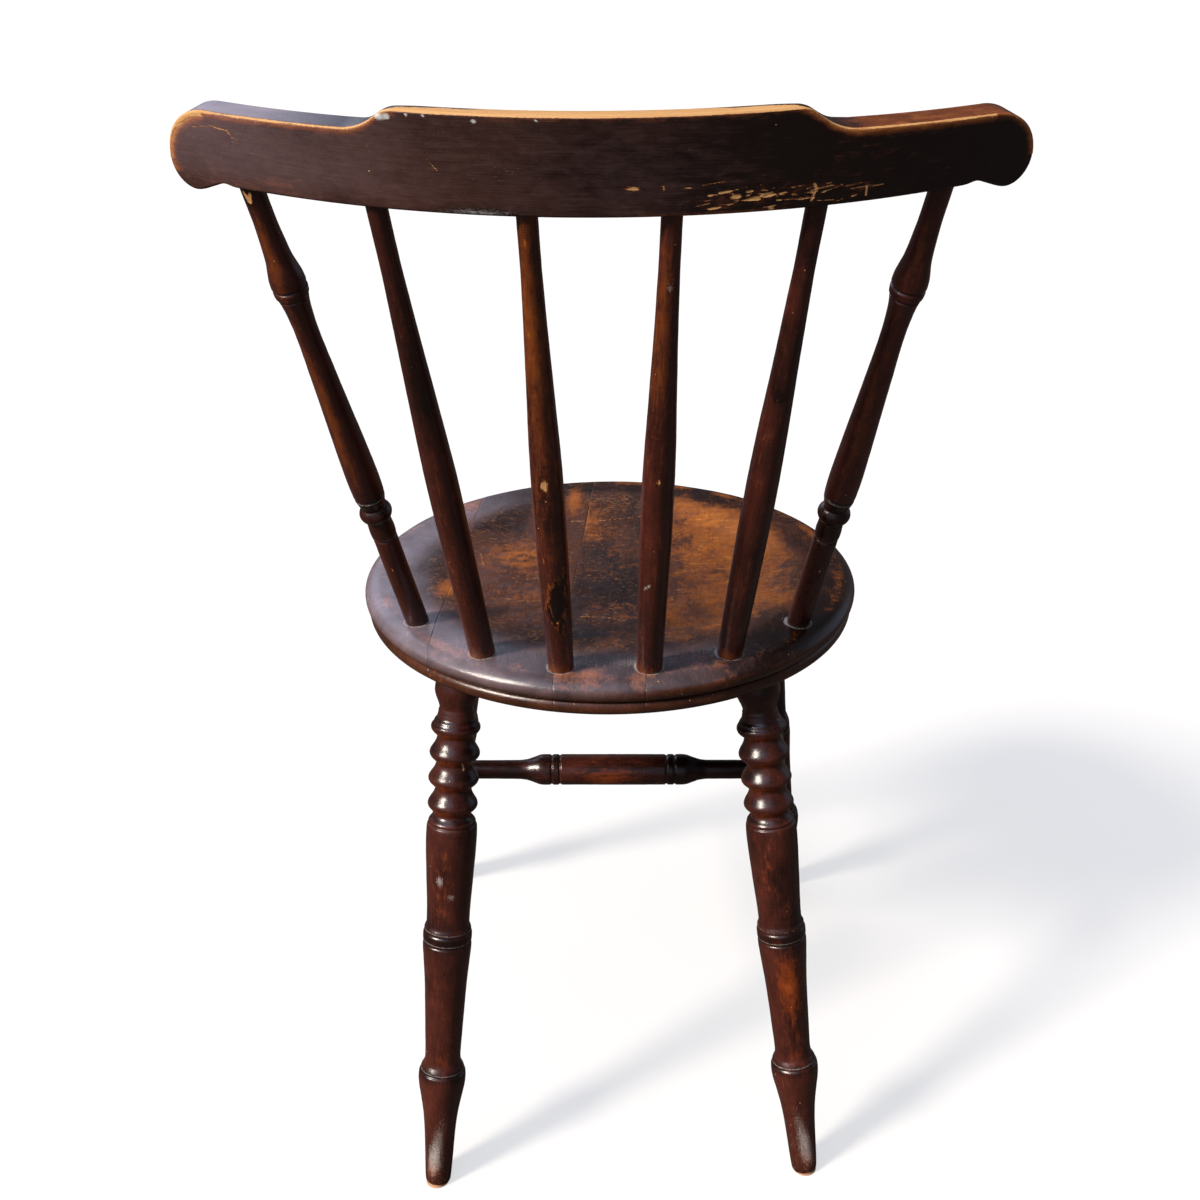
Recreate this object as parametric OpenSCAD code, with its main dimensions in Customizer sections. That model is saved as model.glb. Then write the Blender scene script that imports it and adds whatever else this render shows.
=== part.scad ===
// Round-seat spindle-back kitchen chair in turned and bent hardwood.
// Front faces -Y, the sitter's left is +X, +Z is up and the feet stand on z = 0.
// The origin is under the middle of the chair's overall width and depth.

/* [Seat] */
// Diameter over the rim
seat_d = 380; // [360:1:460]
// Height of the seat's rim above the floor
seat_h = 444; // [380:1:540]
// Thickness of the seat boards
seat_t = 28; // [28:0.5:36]
// Depth of the hollow turned in the middle of the seat
dish_depth = 4; // [1:0.5:5]
// Width of the flat and moulded border left around the hollow
dish_border = 38; // [36:1:50]
// Height of the upper roll moulded on the rim
roll_h = 16.7; // [12:0.1:17]
// How far the lower bead of the rim stands in from the upper roll
bead_inset = 2.5; // [1:0.5:5]
// Depth of the groove between the roll and the bead
groove_depth = 2; // [1:0.5:4]
// Distances of the three glue joints from the middle of the seat, towards the sitter's left
board_joints = [-37, 26, 119];
// Angle between the boards and the front-to-back line
board_skew = 2.8; // [0:0.1:8]
// Gap left for glue between neighbouring boards
glue_gap = 0.1; // [0.05:0.05:0.2]

/* [Crest rail] */
// Width of the crest rail, end to end
crest_w = 476; // [440:1:560]
// Height of its raised middle
crest_rise = 57; // [48:1:72]
// Height of its lower wings
wing_h = 41; // [34:1:46]
// Thickness of the board
crest_t = 18; // [18:0.5:26]
// Radius of the bend, on the rear face
crest_bend = 528; // [420:1:900]
// Backward lean of the board
crest_lean = 13.3; // [8:0.1:18]
// Height of its lower edge above the seat, at the middle of the rear face
crest_above_seat = 326; // [270:1:400]
// Distance of that edge behind the middle of the seat
crest_back = 273.5; // [250:0.5:320]
// Half width of the raised middle
step_x = 104; // [80:1:130]
// Radius at the top of the step down to the wing
step_r_top = 14; // [10:1:18]
// Radius at the foot of the step
step_r_foot = 32; // [24:1:40]
// Steepness of the step
step_slope = 37; // [25:1:45]
// Radius of the upper corner of the wing
end_r_top = 26; // [20:1:28]
// Radius of the lobe under the end of the wing
end_r_low = 18.5; // [14:0.5:20]
// How far that lobe hangs below the lower edge
lobe_drop = 5.5; // [2:0.5:7]
// Radius of the small notch beside the lobe
notch_r = 5; // [3:0.5:7]

/* [Back spindles and posts] */
// Radius of the ring of sockets in the seat
socket_ring = 168.8; // [150:0.2:172]
// Angles of the sockets from straight back, inner spindle, outer spindle, post
socket_angles = [10.3, 30.7, 54.9];
// Distances of their upper ends from the middle of the crest rail, on the sitter's left
crest_sockets_left = [37.5, 120.2, 192.5];
// The same on the sitter's right
crest_sockets_right = [40, 118, 188];
// Spindle diameter at the crest rail
spindle_top_d = 12; // [10:0.5:13]
// Spindle diameter at its fullest
spindle_belly_d = 20.4; // [16:0.2:24]
// Distance of the fullest part above the seat
spindle_belly_at = 122; // [90:1:160]
// Spindle diameter at the seat
spindle_foot_d = 18; // [14:0.5:20]
// Post diameter at the crest rail
post_top_d = 13.2; // [12:0.2:14]
// Post diameter at its double ring
post_ring_d = 21.2; // [18:0.2:26]
// Distance of the double ring below the crest rail
post_ring_drop = 71; // [50:1:90]
// Post diameter at its waist, below the double ring
post_waist_d = 14.6; // [12:0.2:18]
// Post diameter at the fullest part of its body
post_belly_d = 21.4; // [18:0.2:26]
// Distance of that fullest part above the seat
post_belly_at = 139; // [125:1:160]
// Post diameter over the round collar
post_collar_d = 21.8; // [20:0.2:26]
// Distance of the collar above the seat
post_collar_at = 111; // [105:1:118]
// Post diameter at the seat
post_foot_d = 16.6; // [14:0.2:18]

/* [Legs] */
// Where the rear legs meet the seat's underside, to the side and back
rear_leg_top = [107, 123];
// Where the rear legs meet the floor, to the side and back
rear_leg_foot = [145.6, 192.5];
// Where the front legs meet the seat's underside, to the side and forward
front_leg_top = [118, 111];
// Where the front legs meet the floor, to the side and forward
front_leg_foot = [174.8, 195];
// How far the loose rear feet have racked towards the sitter's right
rear_rack = 10.9; // [0:0.1:14]
// How far they have twisted, the left foot backwards and the right one forwards
rear_twist = 8.6; // [0:0.1:12]
// Diameter of the pear-shaped top of a leg
pear_d = 32; // [28:0.5:36]
// Diameter over the four bobbins
bobbin_d = 36.8; // [32:0.2:40]
// Distance between bobbins
bobbin_pitch = 19.8; // [16:0.2:22]
// Diameter of the necks between bobbins
neck_d = 26.8; // [24:0.2:30]
// Diameter of the plain section at its upper end
plain_top_d = 37.6; // [34:0.2:42]
// Diameter of the plain section at its lower end
plain_low_d = 32.4; // [28:0.2:38]
// Diameter of the double ring
leg_ring_d = 36.8; // [33:0.2:42]
// Height of the double ring up the leg
leg_ring_at = 211; // [190:1:225]
// Diameter of the slim section above the ankle
slim_d = 27.2; // [24:0.2:30]
// Diameter of the ankle
ankle_d = 36.4; // [30:0.2:40]
// Height of the ankle up the leg
ankle_at = 95; // [80:1:110]
// Diameter of the foot
foot_d = 20.4; // [18:0.2:26]

/* [Stretchers] */
// Height of the stretchers above the floor
stretcher_z = 258; // [245:1:280]
// Diameter in the middle
stretcher_d = 25.5; // [22:0.5:30]
// Diameter at the ends
stretcher_end_d = 15.5; // [12:0.5:18]
// Half length of the plain middle of the cross stretcher
cross_middle = 43; // [30:1:55]
// Half length of the plain middle of a side stretcher
side_middle = 50; // [40:1:60]

/* [Fits] */
// Clearance around each tenon in its socket, for glue
fit = 0.1; // [0.05:0.05:0.3]
// Depth of the sockets in the seat
seat_socket = 12; // [8:0.5:12]
// Depth of the sockets in the crest rail
crest_socket = 15; // [10:0.5:18]
// How much a tenon narrows inside the crest rail
crest_taper = 3.2; // [1:0.2:4]
// Diameter of the tenon at the top of a leg
leg_tenon_d = 24; // [20:0.5:24]
// Depth of the sockets in the legs
leg_socket = 14; // [8:0.5:16]
// Depth of the sockets in the side stretchers
side_socket = 9; // [6:0.5:10]

/* [Hidden] */
$fn = 64;

// Steps along an eased curve, along each quarter of a round moulding and across the hollow
ease_n = 5;
arc_n = 6;
dish_n = 10;
// Depth and half width of every V groove cut on the lathe
v_groove = 0.9;
v_half = 1.3;
// Width of the rounded part of the rim's roll, and the share of its height below its widest part
roll_in = 12;
roll_share = 0.4;
// Straight lengths of a spindle at the seat and at the crest rail
spindle_foot_plain = 10;
spindle_top_plain = 22;
// Round collar of a post: half its width, its neck's depth, the cove and the groove under it
collar_half = 5.5;
collar_neck = 1.9;
collar_cove = 15;
collar_groove = 23;
// Double ring of a post: distance between its grooves, and the swellings under and over it
ring_pitch = 6;
ring_rise = 28;
ring_fall = 23;
// Top of a leg: length of its tenon's plain start, its pear and its first neck
tenon_plain = 3;
pear_at = 13;
pear_neck_at = 29.5;
// Length of the rounded shoulder above a leg's plain section
shoulder = 12.5;
// Double ring of a leg: distance between its grooves, and the slopes on both sides of it
leg_ring_pitch = 9;
leg_ring_slope = 10;
// Slopes above and below an ankle
ankle_rise = 16;
ankle_fall = 45;
// Stretcher: distance of its two grooves from the plain middle, and the length of its slope
stretcher_grooves = [1.2, 7];
stretcher_slope = 21;
// Overlap that lets a socket break out cleanly through a slanting surface
mouth = 8;
// Turn of each round piece about its own axis, which takes its seam away from slanting cuts
seam_turn = 90;
// Angle up to which the rim's bead shows inside the groove
bead_start = 75;
// Stained and worn wood
seat_tone = [0.45, 0.25, 0.13];
crest_tone = [0.24, 0.15, 0.12];
upright_tone = [0.31, 0.14, 0.09];
leg_tone = [0.25, 0.13, 0.09];

seat_r = seat_d / 2;
seat_under = seat_h - seat_t;
crest_z = seat_h + crest_above_seat;

// The chair is laid out around the middle of the seat, then moved so that the origin
// is midway between the crest rail's top edge and the front edge of the front feet.
rear_reach = crest_back + crest_rise * sin(crest_lean);
front_slope = (front_leg_foot[1] - front_leg_top[1]) / seat_under;
front_reach = front_leg_foot[1] + (foot_d / 2 - v_groove) * norm([1, front_slope]);
seat_y = (front_reach - rear_reach) / 2;

// ---- Helpers ----

function ease(p, q, n = ease_n) =
    [for (i = [1 : n]) let (t = i / n, w = (1 - cos(180 * t)) / 2)
        [p[0] + (q[0] - p[0]) * w, p[1] + (q[1] - p[1]) * t]];

function joined(parts) = [for (part = parts) for (p = part) p];

// Turned outline through stations [radius, distance], eased from each one to the next.
function turned(stations) =
    concat([stations[0]], joined([for (i = [1 : len(stations) - 1])
        (stations[i][0] == stations[i - 1][0]) ? [stations[i]] : ease(stations[i - 1], stations[i])]));

// V groove cut at distance s into a surface of radius r.
function vee(r, s) = [[r, s - v_half], [r - v_groove, s], [r, s + v_half]];

function arc(centre, r, from, to, n = arc_n) =
    [for (i = [0 : n]) let (a = from + (to - from) * i / n) centre + r * [cos(a), sin(a)]];

module lathe(outline) {
    rotate_extrude()
        polygon(concat([[0, outline[0][1]]], outline, [[0, outline[len(outline) - 1][1]]]));
}

// Puts a piece drawn up the Z axis onto the line from a towards b.
module along(a, b) {
    d = b - a;
    translate(a)
        rotate([0, acos(d[2] / norm(d)), atan2(d[1], d[0])])
            rotate(seam_turn)
                children();
}

// Colours a piece and moves it from the middle of the seat to its place in the chair.
module stained(tone) { color(tone) translate([0, seat_y, 0]) children(); }

// ---- Seat ----

// Right half of the section through the seat, from the middle of the top round to the underside.
function seat_section() =
    let (
        dish_r = seat_r - dish_border,
        roll_low = seat_h - roll_h,
        roll_mid = roll_low + roll_h * roll_share,
        groove_r = seat_r - bead_inset - groove_depth,
        bead_r = (roll_low - seat_under) / 2,
        bead_c = [seat_r - bead_inset - bead_r, seat_under + bead_r]
    )
    concat(
        [for (i = [0 : dish_n]) let (t = i / dish_n)
            [dish_r * t, seat_h - dish_depth * (1 + cos(180 * t)) / 2]],
        [for (i = [0 : arc_n]) let (a = 90 - 90 * i / arc_n)
            [seat_r - roll_in + roll_in * cos(a), roll_mid + (seat_h - roll_mid) * sin(a)]],
        [for (i = [1 : ease_n]) let (a = -90 * i / ease_n)
            [groove_r + (seat_r - groove_r) * cos(a), roll_mid + (roll_mid - roll_low) * sin(a)]],
        arc(bead_c, bead_r, bead_start, -90, 2 * arc_n),
        [[0, seat_under]]
    );

module seat_blank() { rotate_extrude() polygon(seat_section()); }

// Strip of the seat between two glue joints, measured from the middle towards the left.
module strip(from, to) {
    rotate([0, 0, -board_skew])
        translate([from + glue_gap / 2, -seat_d, 0])
            cube([to - from - glue_gap, 2 * seat_d, seat_h + seat_t]);
}

module seat_board(from, to) {
    stained(seat_tone) difference() {
        intersection() {
            seat_blank();
            strip(from, to);
        }
        for (side = [-1, 1]) {
            for (k = [0 : 2]) foot_socket(k, side);
            for (rear = [false, true]) leg_top_socket(rear, side);
        }
    }
}

// ---- Crest rail ----

// Point of the crest rail at distance x from its middle, depth in from the rear face,
// on its lower edge.
function crest_point(x, depth) =
    let (r = crest_bend - depth, in = crest_bend - sqrt(r * r - x * x))
    [x, crest_back - in * cos(crest_lean), crest_z + in * sin(crest_lean)];

// Centre of the lobe under the end of the wing, in the same view as the outline.
function lobe_c() = [crest_w / 2 - end_r_low, end_r_low - lobe_drop];

// Upper and lower edge of the right half, seen square to the rear face.
function crest_outline() =
    let (
        half = crest_w / 2,
        top_c = [step_x, crest_rise - step_r_top],
        top_end = top_c + step_r_top * [sin(step_slope), cos(step_slope)],
        foot_drop = step_r_foot * (1 - cos(step_slope)),
        run = (top_end[1] - wing_h - foot_drop) / tan(step_slope),
        foot_c = [top_end[0] + run + step_r_foot * sin(step_slope), wing_h + step_r_foot],
        corner_c = [half - end_r_top, end_r_low - lobe_drop],
        lobe_a = acos(lobe_c()[1] / end_r_low)
    )
    concat(
        [[0, 0], [0, crest_rise]],
        arc(top_c, step_r_top, 90, 90 - step_slope),
        arc(foot_c, step_r_foot, 270 - step_slope, 270),
        arc(corner_c, end_r_top, 90, 0),
        arc(lobe_c(), end_r_low, 0, -90 - lobe_a, 2 * arc_n)
    );

module crest_half_board() {
    lobe_half = sqrt(pow(end_r_low, 2) - pow(lobe_c()[1], 2));
    rotate([90, 0, 0])
        linear_extrude(height = crest_bend)
            difference() {
                polygon(crest_outline());
                translate([lobe_c()[0] - lobe_half + notch_r / 5, -notch_r * 3 / 4])
                    circle(r = notch_r);
            }
}

module crest_rail() {
    stained(crest_tone) difference() {
        translate([0, crest_back, crest_z]) rotate([-crest_lean, 0, 0])
            intersection() {
                translate([0, -crest_bend, -crest_rise]) difference() {
                    cylinder(h = 3 * crest_rise, r = crest_bend, $fn = 256);
                    translate([0, 0, -crest_rise])
                        cylinder(h = 5 * crest_rise, r = crest_bend - crest_t, $fn = 256);
                }
                union() {
                    crest_half_board();
                    mirror([1, 0, 0]) crest_half_board();
                }
            }
        for (side = [-1, 1]) for (k = [0 : 2]) top_socket(k, side);
    }
}

// ---- Back spindles and posts, k = 0 inner, 1 outer, 2 post ----

function upright_foot(k, side) =
    [side * socket_ring * sin(socket_angles[k]), socket_ring * cos(socket_angles[k]), seat_h];

function upright_top(k, side) =
    crest_point(side * (side > 0 ? crest_sockets_left : crest_sockets_right)[k], crest_t / 2);

function upright_length(k) = norm(upright_top(k, 1) - upright_foot(k, 1));

function foot_r(k) = (k == 2 ? post_foot_d : spindle_foot_d) / 2;

function top_r(k) = (k == 2 ? post_top_d : spindle_top_d) / 2;

// Narrowing end that goes into the crest rail.
function crest_tenon(k) =
    let (length = upright_length(k))
    [[top_r(k), length], [top_r(k) - crest_taper / 2, length + crest_socket]];

function spindle_outline(k) =
    concat(
        [[foot_r(k), -seat_socket]],
        turned([[foot_r(k), spindle_foot_plain], [spindle_belly_d / 2, spindle_belly_at],
                [spindle_top_d / 2, upright_length(k) - spindle_top_plain]]),
        crest_tenon(k)
    );

function post_outline() =
    let (
        belly = post_belly_d / 2,
        collar = post_collar_d / 2,
        neck = belly - collar_neck,
        cove = neck - v_groove,
        ring = post_ring_d / 2,
        low_ring = upright_length(2) - post_ring_drop
    )
    concat(
        [[foot_r(2), -seat_socket]],
        vee(foot_r(2), post_collar_at - collar_groove),
        turned([[cove, post_collar_at - collar_cove], [neck, post_collar_at - collar_half - v_half]]),
        [for (i = [1 : ease_n]) let (a = -90 + 180 * i / (ease_n + 1))
            [neck + (collar - neck) * cos(a), post_collar_at + collar_half * sin(a)]],
        [[neck, post_collar_at + collar_half + v_half]],
        vee(belly - v_groove / 2, (post_collar_at + collar_half + post_belly_at) / 2 + v_half),
        turned([[belly, post_belly_at], [post_waist_d / 2, low_ring - ring_rise],
                [ring - v_groove, low_ring - ring_pitch - 2 * v_half]]),
        vee(ring, low_ring - ring_pitch),
        vee(ring, low_ring),
        turned([[ring, low_ring + ring_pitch], [post_top_d / 2 + v_groove, low_ring + ring_fall],
                [post_top_d / 2, upright_length(2) - spindle_foot_plain]]),
        crest_tenon(2)
    );

module upright(k, side) {
    stained(upright_tone) along(upright_foot(k, side), upright_top(k, side))
        lathe(k == 2 ? post_outline() : spindle_outline(k));
}

module foot_socket(k, side) {
    along(upright_foot(k, side), upright_top(k, side))
        translate([0, 0, -seat_socket - fit])
            cylinder(h = seat_socket + mouth, r = foot_r(k) + fit);
}

module top_socket(k, side) {
    tip = top_r(k) - crest_taper / 2 + fit;
    along(upright_foot(k, side), upright_top(k, side)) {
        translate([0, 0, upright_length(k) - mouth]) cylinder(h = mouth, r = top_r(k) + fit);
        translate([0, 0, upright_length(k)])
            cylinder(h = crest_socket + fit, r1 = top_r(k) + fit, r2 = tip);
    }
}

// ---- Legs ----

function leg_foot(rear, side) =
    rear ? [side * rear_leg_foot[0] - rear_rack, rear_leg_foot[1] + side * rear_twist, 0]
         : [side * front_leg_foot[0], -front_leg_foot[1], 0];

function leg_top(rear, side) =
    rear ? [side * rear_leg_top[0], rear_leg_top[1], seat_under]
         : [side * front_leg_top[0], -front_leg_top[1], seat_under];

// Four bobbins with a neck under each, going up the leg from distance s.
function bobbins(s) =
    joined([for (i = [0 : 3]) [
        [neck_d / 2, s + i * bobbin_pitch],
        [bobbin_d / 2, s + (i + 0.5) * bobbin_pitch]
    ]]);

function leg_outline(length) =
    let (
        pear_neck = length - pear_neck_at,
        bobbins_low = pear_neck - 4 * bobbin_pitch,
        plain_top = bobbins_low - shoulder,
        foot = foot_d / 2,
        slim = slim_d / 2,
        ankle = ankle_d / 2,
        ring = leg_ring_d / 2,
        low_ring = leg_ring_at - leg_ring_pitch
    )
    concat(
        [[foot - v_groove, -foot], [foot - v_groove, foot / 2]],
        turned([[foot, foot], [foot + v_groove, ankle_at - ankle_fall],
                [ankle - 2 * v_groove, ankle_at - shoulder], [ankle, ankle_at - 2 * v_half]]),
        vee(ankle, ankle_at),
        turned([[ankle, ankle_at + 2 * v_half], [slim, ankle_at + ankle_rise],
                [ring - v_groove, low_ring - 2 * v_half]]),
        vee(ring, low_ring),
        vee(ring, leg_ring_at),
        turned([[ring, leg_ring_at + 2 * v_half], [plain_low_d / 2, leg_ring_at + leg_ring_slope]]),
        [[plain_top_d / 2, plain_top]],
        ease([plain_top_d / 2, plain_top], [neck_d / 2, bobbins_low]),
        turned(concat(bobbins(bobbins_low), [[neck_d / 2 - 2 * v_groove, pear_neck],
                                             [pear_d / 2, length - pear_at],
                                             [leg_tenon_d / 2, length - tenon_plain]])),
        [[leg_tenon_d / 2, length + seat_socket]]
    );

module leg_top_socket(rear, side) {
    a = leg_foot(rear, side);
    b = leg_top(rear, side);
    along(a, b) translate([0, 0, norm(b - a) - mouth])
        cylinder(h = mouth + seat_socket + fit, r = leg_tenon_d / 2 + fit);
}

module leg(rear, side) {
    a = leg_foot(rear, side);
    b = leg_top(rear, side);
    stained(leg_tone) difference() {
        along(a, b) lathe(leg_outline(norm(b - a)));
        translate([-seat_d, -seat_d, -seat_t]) cube([2 * seat_d, 2 * seat_d, seat_t]);
        stretcher_sockets(side_end(true, side), side_end(false, side), leg_r, leg_socket);
    }
}

// ---- Stretchers ----

// Point on a leg's centre line at the height of the stretchers.
function side_end(rear, side) =
    let (a = leg_foot(rear, side), b = leg_top(rear, side))
    a + (b - a) * stretcher_z / seat_under;

function side_mid(side) = (side_end(true, side) + side_end(false, side)) / 2;

// Radius of a leg where the stretchers enter it
leg_r = (plain_top_d + plain_low_d) / 4;

// One half of a stretcher, from its middle out to the end of the tenon.
function stretcher_half(middle, reach) =
    let (
        r = stretcher_d / 2,
        end_r = stretcher_end_d / 2,
        slope_at = middle + stretcher_grooves[1] + 2 * v_half
    )
    concat(
        vee(r, middle + stretcher_grooves[0]),
        vee(r, middle + stretcher_grooves[1]),
        turned([[r, slope_at], [end_r, slope_at + stretcher_slope]]),
        [[end_r, reach]]
    );

function both_ways(half) =
    concat([for (i = [len(half) - 1 : -1 : 0]) [half[i][0], -half[i][1]]], half);

// Half length of a stretcher between centre lines a and b, with tenons as deep as their sockets.
function stretcher_reach(a, b, r, socket) = norm(b - a) / 2 - r + socket;

module stretcher(a, b, r, socket, middle) {
    along((a + b) / 2, b)
        lathe(both_ways(stretcher_half(middle, stretcher_reach(a, b, r, socket))));
}

// Holes for both tenons of the stretcher that runs between centre lines a and b.
module stretcher_sockets(a, b, r, socket) {
    reach = stretcher_reach(a, b, r, socket);
    along((a + b) / 2, b)
        for (end = [0, 1]) mirror([0, 0, end])
            translate([0, 0, reach - socket - mouth])
                cylinder(h = socket + mouth + fit, r = stretcher_end_d / 2 + fit);
}

module side_stretcher(side) {
    stained(leg_tone) difference() {
        stretcher(side_end(true, side), side_end(false, side), leg_r, leg_socket, side_middle);
        stretcher_sockets(side_mid(-1), side_mid(1), stretcher_d / 2, side_socket);
    }
}

module cross_stretcher() {
    stained(leg_tone)
        stretcher(side_mid(-1), side_mid(1), stretcher_d / 2, side_socket, cross_middle);
}

seat_board(-seat_d, board_joints[0]);  // seat_board_right
seat_board(board_joints[0], board_joints[1]);  // seat_board_middle
seat_board(board_joints[1], board_joints[2]);  // seat_board_left
seat_board(board_joints[2], seat_d);  // seat_board_left_edge
crest_rail();
upright(2, 1);  // back_post_left
upright(2, -1);  // back_post_right
upright(1, 1);  // back_spindle_outer_left
upright(0, 1);  // back_spindle_inner_left
upright(0, -1);  // back_spindle_inner_right
upright(1, -1);  // back_spindle_outer_right
leg(false, 1);  // leg_front_left
leg(false, -1);  // leg_front_right
leg(true, 1);  // leg_rear_left
leg(true, -1);  // leg_rear_right
side_stretcher(1);  // side_stretcher_left
side_stretcher(-1);  // side_stretcher_right
cross_stretcher();
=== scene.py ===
import math

import bmesh
import bpy
import numpy as np
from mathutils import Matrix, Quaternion, Vector


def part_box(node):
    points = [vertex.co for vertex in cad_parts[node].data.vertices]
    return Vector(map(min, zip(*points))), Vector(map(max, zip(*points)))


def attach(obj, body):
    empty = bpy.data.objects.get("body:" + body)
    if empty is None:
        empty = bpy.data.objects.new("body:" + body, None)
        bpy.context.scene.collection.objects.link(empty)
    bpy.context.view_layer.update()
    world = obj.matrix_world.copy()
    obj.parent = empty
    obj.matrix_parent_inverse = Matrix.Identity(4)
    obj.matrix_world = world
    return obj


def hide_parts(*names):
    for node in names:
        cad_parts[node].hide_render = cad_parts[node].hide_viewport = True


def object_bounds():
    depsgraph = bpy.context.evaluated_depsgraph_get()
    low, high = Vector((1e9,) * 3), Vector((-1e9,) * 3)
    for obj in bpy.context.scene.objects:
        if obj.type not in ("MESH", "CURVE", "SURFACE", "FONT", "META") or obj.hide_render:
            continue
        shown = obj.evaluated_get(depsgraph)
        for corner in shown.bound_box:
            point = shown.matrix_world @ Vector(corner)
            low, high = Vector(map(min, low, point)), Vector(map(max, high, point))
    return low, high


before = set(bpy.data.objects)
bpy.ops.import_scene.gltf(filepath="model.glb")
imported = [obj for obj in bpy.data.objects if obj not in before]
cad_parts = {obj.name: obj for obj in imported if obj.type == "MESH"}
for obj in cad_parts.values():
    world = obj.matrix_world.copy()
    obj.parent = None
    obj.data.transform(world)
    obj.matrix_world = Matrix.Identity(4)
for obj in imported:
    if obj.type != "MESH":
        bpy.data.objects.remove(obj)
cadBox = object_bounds()
mm = 0.001

seatNodes = ["seat_board_right", "seat_board_middle", "seat_board_left", "seat_board_left_edge"]
seatCorners = np.array([[list(corner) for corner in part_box(node)] for node in seatNodes])
seatLow = seatCorners[:, 0].min(axis=0) / mm
seatHigh = seatCorners[:, 1].max(axis=0) / mm
seatMid = np.array([(seatLow[0] + seatHigh[0]) / 2, (seatLow[1] + seatHigh[1]) / 2, 0])
print("frame loaded, seat middle", seatMid)

markNames = ("amber", "bare", "dustAndSheen", "dull", "deep", "paintedSheenMark")  # kinds of wear and of painted light, one value each per point


def hexColour(text):
    # sRGB hex to linear: each channel c becomes ((c + 0.055) / 1.055) to the power 2.4
    channels = np.array([int(text[i:i + 2], 16) for i in (1, 3, 5)]) / 255
    linear = np.where(channels < 0.04045, channels / 12.92, ((channels + 0.055) / 1.055) ** 2.4)
    return (*[float(c) for c in linear], 1.0)


def addNode(tree, kind, inputs=None, **settings):
    # one node with its settings, and each input either linked or set
    node = tree.nodes.new(kind)
    for name, value in settings.items():
        setattr(node, name, value)
    for socket, value in (inputs or {}).items():
        if isinstance(value, bpy.types.NodeSocket):
            tree.links.new(value, node.inputs[socket])
        else:
            node.inputs[socket].default_value = value
    return node


def ripple(points, size, seed):
    # smooth noise about -1 to 1: 1.8 times the mean of twelve sine waves in random directions,
    # each about size long
    draw = np.random.default_rng(seed)
    waves = draw.normal(size=(12, 3))
    waves /= np.linalg.norm(waves, axis=1, keepdims=True)
    waves *= 2 * np.pi / size * draw.uniform(0.6, 1.6, (12, 1))
    return np.sin(points @ waves.T + draw.uniform(0, 2 * np.pi, 12)).mean(axis=-1) * 1.8


def smoothStep(value, low, high):
    # 0 below low, 1 above high, and 3t^2 - 2t^3 between them
    t = np.clip((value - low) / (high - low), 0, 1)
    return t * t * (3 - 2 * t)


def smoothThrough(stations, at):
    # cubic through (place, value) stations that never overshoots: the slope at a station is the
    # harmonic mean of its two neighbours' slopes, and zero at a peak or a valley
    place, value = np.array(stations, float).T
    step = np.diff(place)
    rise = np.diff(value) / step
    slope = np.zeros(len(place))
    same = rise[:-1] * rise[1:] > 0
    slope[1:-1][same] = 2 * rise[:-1][same] * rise[1:][same] / (rise[:-1] + rise[1:])[same]
    k = np.clip(np.searchsorted(place, at) - 1, 0, len(step) - 1)
    t = np.clip((at - place[k]) / step[k], 0, 1)
    return ((1 + 2 * t) * (1 - t) ** 2 * value[k] + t * (1 - t) ** 2 * step[k] * slope[k]
            + t * t * (3 - 2 * t) * value[k + 1] + t * t * (t - 1) * step[k] * slope[k + 1])


def gridFaces(rows, columns):
    # quads between neighbouring points of a grid stored row by row, whose rows close on themselves
    row = np.arange(rows - 1)[:, None]
    column = np.arange(columns)[None, :]
    right = (column + 1) % columns
    corners = [row * columns + column, row * columns + right,
               (row + 1) * columns + right, (row + 1) * columns + column]
    return np.stack([np.broadcast_to(c, (rows - 1, columns)) for c in corners], axis=-1).reshape(-1, 4)


def makePiece(name, points, faces, marks, material, node, flat=0):
    # one mesh from points in millimetres, lists of face corners and a value or vector for each point;
    # the last flat faces stay flat, and the faces are turned round if they enclose a negative volume
    corners = [np.asarray(face, dtype=np.int64).ravel() for face in faces]
    sizes = np.concatenate([np.full(len(face), np.asarray(face).shape[1]) for face in faces])
    first = np.concatenate([[0], np.cumsum(sizes)[:-1]])
    loops = np.concatenate(corners)
    mesh = bpy.data.meshes.new(name)
    mesh.vertices.add(len(points))
    mesh.vertices.foreach_set("co", (points * mm).astype(np.float32).ravel())
    mesh.loops.add(len(loops))
    mesh.loops.foreach_set("vertex_index", loops.astype(np.int32))
    mesh.polygons.add(len(sizes))
    mesh.polygons.foreach_set("loop_start", first.astype(np.int32))
    smooth = np.ones(len(sizes), dtype=bool)
    smooth[len(sizes) - flat:] = False
    mesh.polygons.foreach_set("use_smooth", smooth)
    mesh.update(calc_edges=True)
    for mark, values in marks.items():
        vector = np.ndim(values) == 2
        layer = mesh.attributes.new(mark, "FLOAT_VECTOR" if vector else "FLOAT", "POINT")
        layer.data.foreach_set("vector" if vector else "value", np.asarray(values, np.float32).ravel())
    a, b, c, d = (points[faces[0][:, i]] for i in range(4))
    volume = (np.cross(b - a, c - a) * a).sum() + (np.cross(c - a, d - a) * a).sum()
    if volume < 0:
        mesh.flip_normals()
    mesh.materials.append(material)
    piece = bpy.data.objects.new(name, mesh)
    bpy.context.scene.collection.objects.link(piece)
    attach(piece, "root")
    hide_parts(node)
    return piece


def mergeClose(piece):
    # joins the points that meet where a section closes up
    shell = bmesh.new()
    shell.from_mesh(piece.data)
    bmesh.ops.remove_doubles(shell, verts=shell.verts, dist=0.004 * mm)
    shell.to_mesh(piece.data)
    shell.free()


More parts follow.
